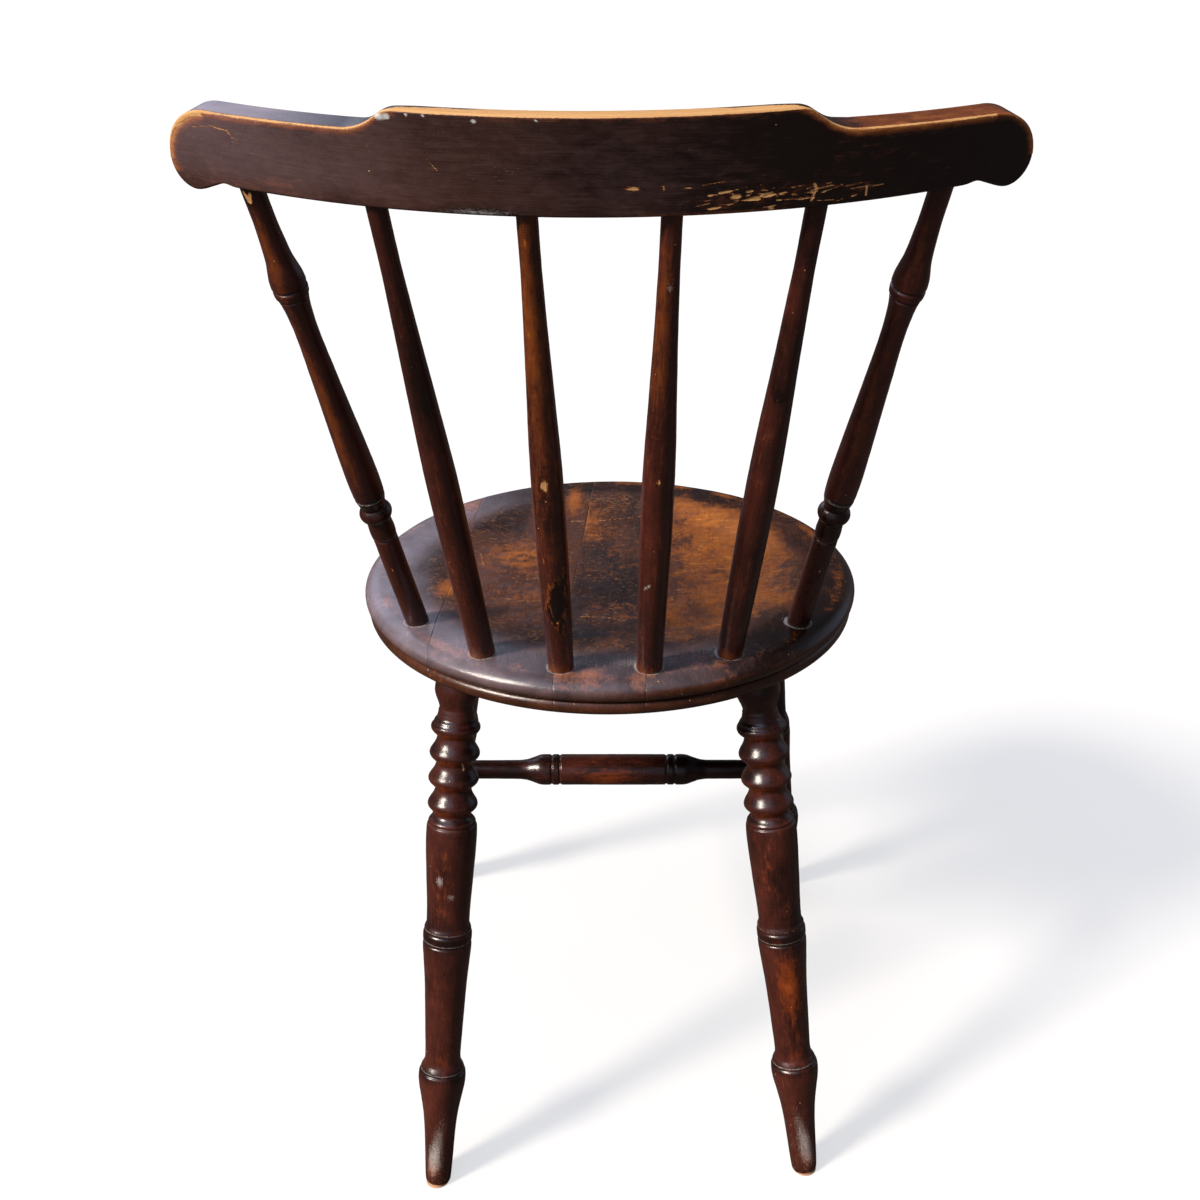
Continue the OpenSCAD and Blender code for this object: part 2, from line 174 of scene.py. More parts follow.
stage = {
    "cameraAt": (-0.0227, 1.0395, 0.9406), "cameraLook": (0.0253, -0.8984, -0.4383), "cameraRoll": -0.0091,
    "lens": 45.62, "sensor": 36, "floorSize": 90.0,
    "floorSeen": "#f4f3f1", "floorLit": "#514a45", "floorGlow": 0.62,
    "keyFrom": (0.676, 0.450, 0.585), "keyAngle": 11.0, "keyStrength": 4.7, "keyColour": "#fff3e4",
    "skyColour": "#c3cbe6", "roomColour": "#8d8f96", "roomStrength": 0.30,
    # soft bright patches round the chair: the way to each, the cosines of the angle from it at which
    # it starts and is full, and its strength
    "windows": [((0.46, -0.72, 0.52), 0.89, 0.985, 2.3), ((-0.86, -0.48, 0.16), 0.88, 0.98, 0.5),
                ((0.35, 0.36, 0.86), 0.80, 0.975, 2.1), ((0.60, 0.78, 0.15), 0.4, 0.97, 0.62)],
}


def makeCamera(scene):
    # looks along cameraLook, turned about it by cameraRoll radians
    camera = bpy.data.objects.new("camera", bpy.data.cameras.new("camera"))
    camera.data.lens = stage["lens"]
    camera.data.sensor_width = stage["sensor"]
    camera.location = stage["cameraAt"]
    aim = Vector(stage["cameraLook"]).to_track_quat("-Z", "Y")
    camera.rotation_euler = (aim @ Quaternion((0, 0, 1), stage["cameraRoll"])).to_euler()
    scene.collection.objects.link(camera)
    scene.camera = camera


def makeFloor(scene):
    # studio paper: white with a soft shadow where it is looked at, a dull grey where it lights the chair
    half = stage["floorSize"] / 2
    mesh = bpy.data.meshes.new("floor")
    corners = [(-half, -half, 0), (half, -half, 0), (half, half, 0), (-half, half, 0)]
    mesh.from_pydata(corners, [], [(0, 1, 2, 3)])
    floor = bpy.data.objects.new("floor", mesh)
    scene.collection.objects.link(floor)
    paper = bpy.data.materials.new("studioPaper")
    paper.use_nodes = True
    tree = paper.node_tree
    tree.nodes.clear()
    seen = addNode(tree, "ShaderNodeLightPath").outputs["Is Camera Ray"]
    tone = addNode(tree, "ShaderNodeMix", {0: seen, 6: hexColour(stage["floorLit"]),
                   7: hexColour(stage["floorSeen"])},
                   data_type="RGBA")
    matt = addNode(tree, "ShaderNodeBsdfDiffuse", {"Color": tone.outputs[2]})
    glow = addNode(tree, "ShaderNodeEmission", {"Color": (1, 1, 1, 1), "Strength": 1.0})
    share = addNode(tree, "ShaderNodeMath", {0: seen, 1: stage["floorGlow"]}, operation="MULTIPLY")
    mixed = addNode(tree, "ShaderNodeMixShader", {0: share.outputs[0], 1: matt.outputs[0],
        2: glow.outputs[0]})
    addNode(tree, "ShaderNodeOutputMaterial", {"Surface": mixed.outputs[0]})
    mesh.materials.append(paper)


def makeSurroundings(scene):
    # white behind the chair, and for the light on it a dim room with the bright windows in it
    scene.world = bpy.data.worlds.new("studio")
    scene.world.use_nodes = True
    tree = scene.world.node_tree
    tree.nodes.clear()
    place = addNode(tree, "ShaderNodeTexCoord").outputs["Generated"]
    bright = 0.0
    for way, start, full, strength in stage["windows"]:
        near = addNode(tree, "ShaderNodeVectorMath", {0: place, 1: Vector(way).normalized()},
                       operation="DOT_PRODUCT")
        window = addNode(tree, "ShaderNodeMapRange", {"Value": near.outputs["Value"], "From Min": start,
                         "From Max": full, "To Max": strength}, interpolation_type="SMOOTHSTEP")
        bright = addNode(tree, "ShaderNodeMath", {0: window.outputs[0], 1: bright},
                         operation="ADD").outputs[0]
    room = addNode(tree, "ShaderNodeBackground", {"Color": hexColour(stage["roomColour"]),
                                                  "Strength": stage["roomStrength"]})
    sky = addNode(tree, "ShaderNodeBackground", {"Color": hexColour(stage["skyColour"]), "Strength": bright})
    both = addNode(tree, "ShaderNodeAddShader", {0: room.outputs[0], 1: sky.outputs[0]})
    white = addNode(tree, "ShaderNodeBackground", {"Color": (1, 1, 1, 1), "Strength": 1.0})
    seen = addNode(tree, "ShaderNodeLightPath").outputs["Is Camera Ray"]
    mixed = addNode(tree, "ShaderNodeMixShader", {0: seen, 1: both.outputs[0], 2: white.outputs[0]})
    addNode(tree, "ShaderNodeOutputWorld", {"Surface": mixed.outputs[0]})


def makeKey(scene):
    # a wide sun that shines from keyFrom towards the chair
    lamp = bpy.data.lights.new("key", "SUN")
    lamp.energy = stage["keyStrength"]
    lamp.angle = math.radians(stage["keyAngle"])
    lamp.color = hexColour(stage["keyColour"])[:3]
    holder = bpy.data.objects.new("key", lamp)
    holder.location = Vector(stage["keyFrom"]) * 3
    holder.rotation_euler = (-Vector(stage["keyFrom"])).to_track_quat("-Z", "Y").to_euler()
    scene.collection.objects.link(holder)


bpy.context.scene.view_settings.view_transform = "Standard"
makeCamera(bpy.context.scene)
makeFloor(bpy.context.scene)
makeSurroundings(bpy.context.scene)
makeKey(bpy.context.scene)
print("camera, floor and lamps made")


# Stained beech or birch under old varnish. The stain lies in cloudy patches over the fibre, the
# varnish is glossy where nobody touched it, dull and scratched where they did, and chipped through
# to pale bare wood on edges and knocks. Sizes run across, through and along the fibre in millimetres.
finishes = {
    "crestVarnish": {
        "deep": "#120606", "stain": "#4a2f28", "amber": "#7a3f1c", "glow": "#b87a40", "bare": "#d2a66c",
        "dustAndSheen": "#b4b2ae", "fibre": (0.6, 0.6, 30.0), "cloud": (46, 46, 90), "mottle": (5, 5, 12),
        "chip": (0.45, 0.6, 2.6), "figure": 0.1, "lathe": 0.0, "sharp": 0.5, "gloss": (0.30, 0.50),
        "scratch": 0.10, "speck": 0.04, "relief": 0.4,
    },
    "spindleVarnish": {
        "deep": "#170906", "stain": "#52241a", "amber": "#783c14", "glow": "#9a5a22", "bare": "#d9a66c",
        "dustAndSheen": "#a59f8f", "fibre": (0.7, 0.7, 30.0), "cloud": (30, 30, 70), "mottle": (4, 4, 14),
        "chip": (1.1, 1.1, 2.4), "figure": 0.0, "lathe": 0.5, "sharp": 0.5, "gloss": (0.24, 0.40),
        "scratch": 0.4, "speck": 0.06, "relief": 0.3,
    },
    "legVarnish": {
        "deep": "#1a0b08", "stain": "#56281d", "amber": "#883c14", "glow": "#a65f28", "bare": "#d6aa82",
        "dustAndSheen": "#b3aca4", "fibre": (0.8, 0.8, 26.0), "cloud": (28, 28, 60), "mottle": (4, 4, 10),
        "chip": (0.55, 0.55, 1.3), "figure": 0.0, "lathe": 0.35, "sharp": 0.5, "gloss": (0.24, 0.42),
        "scratch": 0.6, "speck": 0.08, "relief": 0.35,
    },
    "seatVarnish": {
        "deep": "#1f0e08", "stain": "#58301c", "amber": "#7c4212", "glow": "#b0681e", "bare": "#d9a468",
        "dustAndSheen": "#97928e", "fibre": (0.8, 0.8, 40.0), "cloud": (36, 30, 50), "mottle": (5, 5, 6.5),
        "chip": (0.7, 0.7, 1.6), "figure": 0.45, "lathe": 0.0, "sharp": 0.34, "gloss": (0.22, 0.62),
        "scratch": 1.0, "speck": 0.15, "relief": 0.4,
    },
}
everyFinish = {
    # paintedSheen is the colour of the painted sheen
    "paintedSheen": "#b3a7b4", "filler": "#cfcdc6",
    "speckScale": 190.0, "reliefDepth": 0.3,
}
sharedSizes = {
    "figure": (26, 26, 4.5),  # flames across the fibre
    "lathe": (60, 60, 0.9),  # rings left by the turner's scraper
    "grit": (1.1, 1.1, 1.1),
    "streakOne": (0.3, 5, 8), "streakTwo": (0.3, 5, 8), "streakThree": (0.3, 5, 8),
}
# noise of each pattern: detail, roughness, distortion, shift in metres and turn
patterns = {
    "fibre": (4.0, 0.65, 0.0, (0, 0, 0), 0.0),
    "cloud": (4.0, 0.6, 0.6, (0, 0, 0), 0.0),
    "mottle": (5.0, 0.7, 0.5, (0.2, 0.1, 0.3), 0.0),
    "figure": (3.0, 0.6, 0.5, (0.5, 0.2, 0.6), 0.0),
    "lathe": (2.0, 0.6, 0.0, (0, 0, 0), 0.0),
    "chip": (3.0, 0.6, 0.2, (0.7, 0.4, 0.1), 0.14),
    "grit": (3.0, 0.7, 0.0, (0, 0, 0), 0.0),
    "streakOne": (1.0, 0.5, 0.35, (0.31, 0, 0.31), 0.55),
    "streakTwo": (1.0, 0.5, 0.35, (0.77, 0, 0.77), -0.95),
    "streakThree": (1.0, 0.5, 0.35, (1.9, 0, 1.9), 1.5),
}


def weighed(tree, value, weights, low, high, end=1.0):
    # the sum of each named value times its weight, with low..high of that sum taken to 0..end
    total = 0.0
    for name, weight in weights.items():
        total = addNode(tree, "ShaderNodeMath", {0: value[name], 1: weight, 2: total},
                        operation="MULTIPLY_ADD").outputs[0]
    return addNode(tree, "ShaderNodeMapRange", {"Value": total, "From Min": low, "From Max": high,
                                                "To Max": end}).outputs[0]


def varnishedWood(name):
    # a stained wood under varnish: masks from noise plus the marks on the points, then a coat for each mask
    look = finishes[name]
    material = bpy.data.materials.new(name)
    material.use_nodes = True
    tree = material.node_tree
    tree.nodes.clear()
    own = addNode(tree, "ShaderNodeAttribute", attribute_name="own").outputs["Vector"]
    value = {mark: addNode(tree, "ShaderNodeAttribute", attribute_name=mark).outputs["Fac"]
             for mark in markNames}
    for pattern, (detail, roughness, distortion, shift, turn) in patterns.items():
        size = sharedSizes.get(pattern) or look[pattern]
        scaled = addNode(tree, "ShaderNodeMapping", {"Vector": own, "Scale": [length * mm for length in size],
                         "Location": shift, "Rotation": (0, turn, 0)}, vector_type="TEXTURE")
        value[pattern] = addNode(tree, "ShaderNodeTexNoise", {"Vector": scaled.outputs[0], "Scale": 1.0,
                                 "Detail": detail,
                                 "Roughness": roughness, "Distortion": distortion}).outputs["Fac"]
    lathe = look["lathe"]
    figure = look["figure"]

    # stain: deep where the cloud is thick, lighter along the fibre
    value["stain"] = weighed(tree, value, {"cloud": 1, "fibre": 0.5, "mottle": 0.45,
                                 "lathe": lathe * 0.5, "deep": -1},
                             0.62 + lathe * 0.25, 1.27 + lathe * 0.25)
    # amber: where the dark stain has worn thin and the warm wood shows through the varnish, and painted light
    # where the marks put amber on lit sides and undersides
    half = 1.42 + figure / 2 + lathe * 0.15
    value["thinStainAndPaintedLight"] = weighed(tree, value, {"amber": 1, "mottle": 1, "fibre": 0.4, "figure": figure,
                            "cloud": 0.35,
                            "grit": 0.25, "lathe": lathe * 0.3},
                            half - look["sharp"] / 2, half + look["sharp"] / 2)
    value["bright"] = weighed(tree, value, {"amber": 1, "mottle": 1.2, "figure": figure * 1.6,
                                "grit": 0.8, "fibre": 0.5},
                              1.85 + figure * 0.8, 2.5 + figure * 0.8)

    # scratches: thin curved lines in three directions, where the varnish is dull from use
    streaks = [pattern for pattern in patterns if pattern.startswith("streak")]
    for streak in streaks:
        value[streak] = weighed(tree, value, {streak: 1}, 0.70, 0.74)
    scratch = weighed(tree, value, {streak: 1 for streak in streaks}, 0, 1, look["scratch"])
    worn = weighed(tree, value, {"dull": 1}, 0.1, 0.7)
    value["scratch"] = addNode(tree, "ShaderNodeMath", {0: scratch, 1: worn}, operation="MULTIPLY").outputs[0]

    # painted sheen: a pale bluish sheen painted into the colour, in soft patches where the sheen marks are
    value["sheenPatches"] = addNode(tree, "ShaderNodeMath", {0: value["paintedSheenMark"], 1: value["cloud"]},
                            operation="MULTIPLY").outputs[0]
    value["paintedSheen"] = weighed(tree, value, {"sheenPatches": 1, "fibre": 0.06, "mottle": 0.08}, 0.08, 1)

    # specks: pin-head knocks through the varnish, in a few cells out of many
    cells = addNode(tree, "ShaderNodeTexVoronoi", {"Vector": own, "Scale": everyFinish["speckScale"],
                                                       "Randomness": 1.0})
    near = addNode(tree, "ShaderNodeMapRange", {"Value": cells.outputs["Distance"],
                                              "From Min": 0.09, "From Max": 0.05})
    lot = addNode(tree, "ShaderNodeSeparateColor", {"Color": cells.outputs["Color"]})
    chosen = addNode(tree, "ShaderNodeMath", {0: lot.outputs[0], 1: look["speck"]}, operation="LESS_THAN")
    value["speck"] = addNode(tree, "ShaderNodeMath", {0: near.outputs[0], 1: chosen.outputs[0]},
                             operation="MULTIPLY").outputs[0]

    # bare: chips and rubbed edges, ragged along the fibre, with amber round them
    ragged = {"bare": 1, "chip": 1.1, "fibre": 0.35, "grit": 0.35}
    value["border"] = weighed(tree, value, ragged, 1.2, 1.38, 0.85)
    value["opened"] = weighed(tree, value, ragged, 1.36, 1.5)
    grain = weighed(tree, value, {"fibre": 1, "grit": 0.5}, 0.35, 0.9)

    # dust and painted sheen: grey grime in corners, painted sheen and highlights where the marks put them,
    # and old filler where it is thickest
    value["grey"] = weighed(tree, value, {"dustAndSheen": 1, "grit": 0.6, "chip": 1, "fibre": 0.5}, 1.42, 2.05)
    value["filler"] = weighed(tree, value, {"dustAndSheen": 1, "chip": 1.4, "grit": 1}, 2.6, 2.8)

    # the coats in the order in which they lie on the wood
    tint = {key: hexColour(shade) for key, shade in {**everyFinish, **look}.items() if isinstance(shade, str)}
    wood = addNode(tree, "ShaderNodeMix", {0: grain, 6: tint["glow"], 7: tint["bare"]},
                   data_type="RGBA").outputs[2]
    colour = tint["deep"]
    for mask, coat in (("stain", tint["stain"]), ("thinStainAndPaintedLight", tint["amber"]), ("bright", tint["glow"]),
                       ("scratch", tint["bare"]), ("paintedSheen", tint["paintedSheen"]), ("speck", tint["bare"]),
                       ("border", tint["amber"]), ("opened", wood), ("grey", tint["dustAndSheen"]),
                       ("filler", tint["filler"])):
        colour = addNode(tree, "ShaderNodeMix", {0: value[mask], 6: colour, 7: coat},
                         data_type="RGBA").outputs[2]

    # roughness: glossy varnish, duller in patches and most of all on bare wood and dust
    glossy, rubbed = look["gloss"]
    value["rubbed"] = weighed(tree, value, {"dull": 1, "cloud": 0.5, "mottle": 0.3}, 0.35, 1.15,
                              rubbed - glossy)
    matt = glossy
    for mask, weight in (("rubbed", 1), ("opened", 0.25), ("grey", 0.25)):
        matt = addNode(tree, "ShaderNodeMath", {0: value[mask], 1: weight, 2: matt},
                       operation="MULTIPLY_ADD").outputs[0]
    # rubbed varnish is scratched open and gives back less of the room than whole varnish
    mirror = addNode(tree, "ShaderNodeMath", {0: worn, 1: -0.24, 2: 0.5}, operation="MULTIPLY_ADD")

    # height: fibre, turning marks and grit in the varnish, scratches and chips cut into it
    height = weighed(tree, value, {"fibre": 1, "grit": 0.35, "lathe": lathe,
                               "scratch": -0.8, "opened": -0.8}, 0, 1)
    height.node.clamp = False
    bump = addNode(tree, "ShaderNodeBump", {"Height": height, "Strength": look["relief"],
                                            "Distance": everyFinish["reliefDepth"] * mm})
    surface = addNode(tree, "ShaderNodeBsdfPrincipled", {"Base Color": colour, "Roughness": matt, "IOR": 1.5,
                      "Specular IOR Level": mirror.outputs[0], "Normal": bump.outputs[0]})
    addNode(tree, "ShaderNodeOutputMaterial", {"Surface": surface.outputs[0]})
    return material


finish = {name: varnishedWood(name) for name in finishes}
print("finishes made")


def bell(gap, width):
    # exp of minus the squared gap over width
    return np.exp(-(gap / width) ** 2)


def spot(across, along, place, reach, turn=0.0):
    # bell-shaped patch: exp of minus the squared distance, each way divided by its reach
    a = across - place[0]
    b = along - place[1]
    c, s = math.cos(math.radians(turn)), math.sin(math.radians(turn))
    return np.exp(-((a * c + b * s) / reach[0]) ** 2 - ((b * c - a * s) / reach[1]) ** 2)


def stroke(across, along, start, end, width):
    # bell-shaped ridge along the line from start to end
    start, end = np.array(start, float), np.array(end, float)
    way = end - start
    t = np.clip(((across - start[0]) * way[0] + (along - start[1]) * way[1]) / (way @ way), 0, 1)
    return bell(np.hypot(across - start[0] - t * way[0], along - start[1] - t * way[1]), width)


def addSpots(marks, across, along, spots, share=1.0):
    # adds share times amount times a spot to a mark, for every (mark, amount, place, reach) and turn if given
    for mark, amount, place, reach, *turn in spots:
        marks[mark] += share * amount * spot(across, along, place, reach, *turn)


def addStrokes(marks, across, along, strokes, share=1.0):
    # scratches to bare wood: adds share times amount times a stroke, for every (start, end, width, amount)
    for start, end, width, amount in strokes:
        marks["bare"] += share * amount * stroke(across, along, start, end, width)


layout = {
    "rearLegTop": (107, 123), "rearLegFoot": (145.6, 192.5),
    "frontLegTop": (118, 111), "frontLegFoot": (174.8, 195),
    "rearRack": 10.9, "rearTwist": 8.6, "stretcherHeight": 258,
    "socketRing": 168.8, "socketAngles": (10.3, 30.7, 54.9),
    "leftSockets": (37.5, 120.2, 192.5), "rightSockets": (40, 118, 188),
}

rail = {
    "width": 476, "thick": 18, "bend": 528, "lean": 13.3, "aboveSeat": 326, "back": 273.5,
    "rise": 55.4, "wing": 42, "wingTilt": 0.9, "wingEnd": 39.7, "endTilt": 1.8,
    "stepX": 104, "stepTop": 14, "stepFoot": 32, "stepSlope": 37,
    "endTop": 26, "endLow": 13.5, "endMid": 11, "lobe": 5.5, "lobeFrom": 207, "lobeTo": 225, "swell": 1.2,
    "rearRound": 1.3, "wingRound": 2.2, "middleRound": 13.0, "lowRound": 1.8,
    "coarse": 1.0, "fine": 0.45,  # distances between sections of the mesh
}


def railPlace(x, height, depth):
    # the board is bent round a cylinder of radius bend with its cuts square to its faces,
    # then leaned back by lean degrees
    turn = np.arcsin(x / rail["bend"])
    x = (rail["bend"] - depth) * np.sin(turn)
    inward = rail["bend"] - (rail["bend"] - depth) * np.cos(turn)
    c, s = math.cos(math.radians(rail["lean"])), math.sin(math.radians(rail["lean"]))
    base = seatHigh[2] + rail["aboveSeat"]
    return np.stack([x + 0 * inward, rail["back"] - inward * c + height * s + seatMid[1],
                     base + inward * s + height * c], axis=-1)


def legEnds(rear, side):
    # foot on the floor and top at the seat's underside; the rear feet stand racked out of square
    foot, top = [layout[("rearLeg" if rear else "frontLeg") + end] for end in ("Foot", "Top")]
    way = 1 if rear else -1
    low = np.array([side * foot[0], way * foot[1], 0.0])
    if rear:
        low += np.array([-layout["rearRack"], side * layout["rearTwist"], 0])
    return low + seatMid, np.array([side * top[0], way * top[1], seatLow[2]]) + seatMid


def uprightEnds(kind, side):
    # from the ring of sockets in the seat to the middle of the rail's thickness
    angle = math.radians(layout["socketAngles"][kind])
    ring = layout["socketRing"]
    foot = np.array([side * ring * math.sin(angle), ring * math.cos(angle), seatHigh[2]])
    across = side * layout["leftSockets" if side > 0 else "rightSockets"][kind]
    across *= rail["bend"] / (rail["bend"] - rail["thick"] / 2)
    return foot + seatMid, railPlace(np.float64(across), 0.0, rail["thick"] / 2)


def alongLeg(rear, side):
    # the point of a leg's axis at the height of the stretchers
    low, high = legEnds(rear, side)
    return low + (high - low) * layout["stretcherHeight"] / seatLow[2]


def turnedRadius(shape, s):
    # diameter through the stations, with full round beads laid over it and narrow grooves cut into it
    radius = smoothThrough(shape["stations"], s) / 2
    for centre, half, neck, peak, fullness in shape.get("beads", []):
        x = np.clip((s - centre) / half, -1.01, 1.01)
        x = x + shape.get("droop", 0) * (1 - x * x)
        bead = neck / 2 + (peak - neck) / 2 * (0.5 + 0.5 * np.cos(np.pi * np.clip(x, -1, 1))) ** fullness
        radius = np.where(np.abs(x) <= 1, bead, radius)
    for centre, depth, half in shape.get("grooves", []):
        radius = radius - depth * bell(s - centre, half)
    return radius


def turnedStations(shape, low, high, step):
    # rows every step, three times closer near grooves
    fine = np.arange(low, high, step / 6)
    weight = np.full(len(fine), 1.0)
    for centre, _, half in shape.get("grooves", []):
        weight += 2.2 * (np.abs(fine - centre) < 3 * half)
    travel = np.cumsum(weight)
    return np.interp(np.linspace(travel[0], travel[-1], int(travel[-1] / 6)), travel, fine)


def turnedPiece(node, low, high, shape, look, paint, seed):
    # a profile carried round the line from low to high; angle 0 faces the rear (+Y), 90 the sitter's left
    length = np.linalg.norm(high - low)
    axis = (high - low) / length
    facing = np.array([0.0, 1.0, 0.0]) if abs(axis[1]) < 0.9 else np.array([0.0, 0.0, 1.0])
    facing = facing - (facing @ axis) * axis
    facing /= np.linalg.norm(facing)
    side = np.cross(facing, axis)
    onFloor = shape.get("onFloor", False)
    before, after = shape["reach"]
    s = turnedStations(shape, -before, length + after, shape["step"])
    angle = np.linspace(0, 2 * np.pi, shape["sides"], endpoint=False)
    s, angle = np.meshgrid(s, angle, indexing="ij")
    stretch = shape.get("height", length) / length
    radius = turnedRadius(shape, s * stretch)
    slope = np.gradient(radius, axis=0) / np.maximum(np.gradient(s, axis=0), 1e-6)

    # old turned wood is never quite round, except where it meets the floor
    around = np.stack([radius * np.cos(angle), radius * np.sin(angle), s], axis=-1)
    still = smoothStep(s, 0, 30) if onFloor else 1.0
    radius = radius + still * (0.14 * ripple(around * [1, 1, 0.5], 38, seed)
                             + 0.05 * ripple(around, 9, seed + 1))
    marks = {mark: 0 * s for mark in markNames}
    arc = ((angle + np.pi) % (2 * np.pi) - np.pi) * radius
    paint(marks, s * stretch, arc, slope)
    radius = radius - 0.35 * np.clip(marks["bare"], 0, 1) * (radius > 2)

    ring = (np.cos(angle)[..., None] * facing + np.sin(angle)[..., None] * side) * radius[..., None]
    points = (low + ring + s[..., None] * axis).reshape(-1, 3)
    own = np.stack([radius * np.cos(angle), radius * np.sin(angle), s], axis=-1)
    own = own.reshape(-1, 3) * mm + seed * 0.37
    rows, columns = s.shape
    if onFloor:
        inside = 0.01
        points[:, 2] = np.maximum(points[:, 2], 0.0)
        points[:, :2] = np.clip(points[:, :2], np.array(cadBox[0])[:2] / mm + inside,
                                np.array(cadBox[1])[:2] / mm - inside)
    ends = np.array([points[:columns].mean(axis=0), points[-columns:].mean(axis=0)])
    points = np.concatenate([points, ends])
    column = np.arange(columns)
    follow = (column + 1) % columns
    last = (rows - 1) * columns
    lowCap = np.stack([np.full(columns, rows * columns), follow, column], axis=-1)
    highCap = np.stack([np.full(columns, rows * columns + 1), last + column, last + follow], axis=-1)
    values = {"own": np.concatenate([own, own[[0, -1]]])}
    for mark, value in marks.items():
        values[mark] = np.concatenate([value.ravel(), value.ravel()[[0, -1]]])
    if onFloor:
        values["bare"][-2] = 1.2  # the worn end grain of the foot
    makePiece("turned_" + node, points, [gridFaces(rows, columns), lowCap, highCap],
              values, finish[look],
              node, flat=2 * columns)


# Stations are (height, diameter), beads (height, half width, neck, peak, fullness), grooves (height,
# depth, half width), all in millimetres from the low end
legShape = {
    "stations": [(-12, 18.4), (0, 18.4), (2.5, 19.6), (9, 20.6), (44, 23.9),
                 (60, 26.9), (76, 32.0), (86, 35.4),
                 (92, 36.4), (97, 35.8), (102, 32.2), (106, 28.2), (111, 27.2), (130, 28.6), (170, 31.8),
                 (193, 35.2), (203, 36.6), (213, 36.8), (217.5, 35.6), (221, 32.6), (224, 32.3), (260, 35.3),
                 (292, 37.7), (298, 37.3), (302.5, 35.6), (305.5, 32.0), (309.2, 26.8), (387.5, 26.0),
                 (389, 24.4), (403, 32.0), (411, 30.6), (418, 27.0)],
    "beads": [(319, 9.8, 26.6, 36.8, 0.78), (338.6, 9.8, 26.6, 37.0, 0.78), (358.2, 9.8, 26.8, 36.9, 0.78),
              (377.8, 9.8, 25.6, 36.0, 0.78)],
    "grooves": [(99.0, 0.8, 1.0), (207, 1.0, 1.1), (216, 0.9, 1.1), (301.6, 0.9, 0.8), (306.2, 0.7, 0.8),
                (378.4, 0.7, 0.7), (382.6, 0.8, 0.7)],
    "droop": 0.3, "bobbins": 305, "plain": 220, "dustRings": (100.6, 208.8, 217.6),
    "darkRings": ((211.5, 7), (99, 5)),
    "height": 416, "reach": (4, 1.5), "step": 1.15, "sides": 84, "onFloor": True,
}

spindleShape = {
    "stations": [(-6, 18.0), (0, 18.0), (60, 19.4), (122, 20.4), (150, 20.3), (186, 19.0), (219, 17.0),
                 (250, 15.0), (287, 13.0), (313, 12.0), (360, 12.0)],
    "reach": (3, 3), "step": 2.0, "sides": 56,
}

post = {
    "low": [(-6, 16.6), (86, 16.6), (90, 17.2), (95, 17.6), (100, 17.0),
            (105, 16.8), (117, 16.8), (121, 18.4),
            (127, 20.8), (140, 21.4), (171, 20.0), (201, 18.0), (232, 16.0)],
    "high": [(256, 14.6), (262, 14.6), (276, 15.8), (284, 17.6), (289, 20.6), (295, 21.4), (300, 21.0),
             (306, 19.0),
             (313, 16.4), (321, 15.0), (343, 13.2), (380, 13.2)],
    "length": 363, "beads": [(111, 5.6, 16.8, 22.4, 0.45)], "dustRings": (89.8, 105.4, 126.0),
    "lowGrooves": [(88.5, 1.1, 0.9), (104.6, 0.5, 0.8), (117.4, 0.5, 0.8), (127.4, 1.0, 0.8)],
    "highGrooves": [(287.2, 1.3, 0.9), (294.2, 1.3, 0.9)],
}

stretcher = {
    "wide": 25.5, "thinStainAndPaintedLight": 15.5, "sideMiddle": 50, "crossMiddle": 43, "cuts": (1.2, 8.0), "cut": (1.0, 0.9),
    "shoulder": [(14, 25.5), (17, 25.0), (23, 21.0), (29, 17.2), (35, 15.8), (60, 15.5)],
}


def postShape(length):
    # the collar stands at a fixed height above the seat and the double ring hangs from the top
    lift = length - post["length"]
    return {
        "stations": post["low"] + [(s + lift, d) for s, d in post["high"]], "beads": post["beads"],
        "grooves": post["lowGrooves"] + [(s + lift, depth, half) for s, depth, half in post["highGrooves"]],
        "reach": (3, 3), "step": 1.1, "sides": 64,
    }


def stretcherShape(middle, half):
    # the same turning on both sides of a plain middle of half length middle
    right = [(middle + s, d) for s, d in stretcher["shoulder"]] + [(half + 30, stretcher["thinStainAndPaintedLight"])]
    stations = [(half - s, d) for s, d in reversed(right)] + [(half, stretcher["wide"])]
    stations += [(half + s, d) for s, d in right]
    grooves = [(half + sign * (middle + cut), *stretcher["cut"])
               for sign in (-1, 1) for cut in stretcher["cuts"]]
    return {"stations": stations, "grooves": grooves, "reach": (-4, -4), "step": 1.3, "sides": 60}


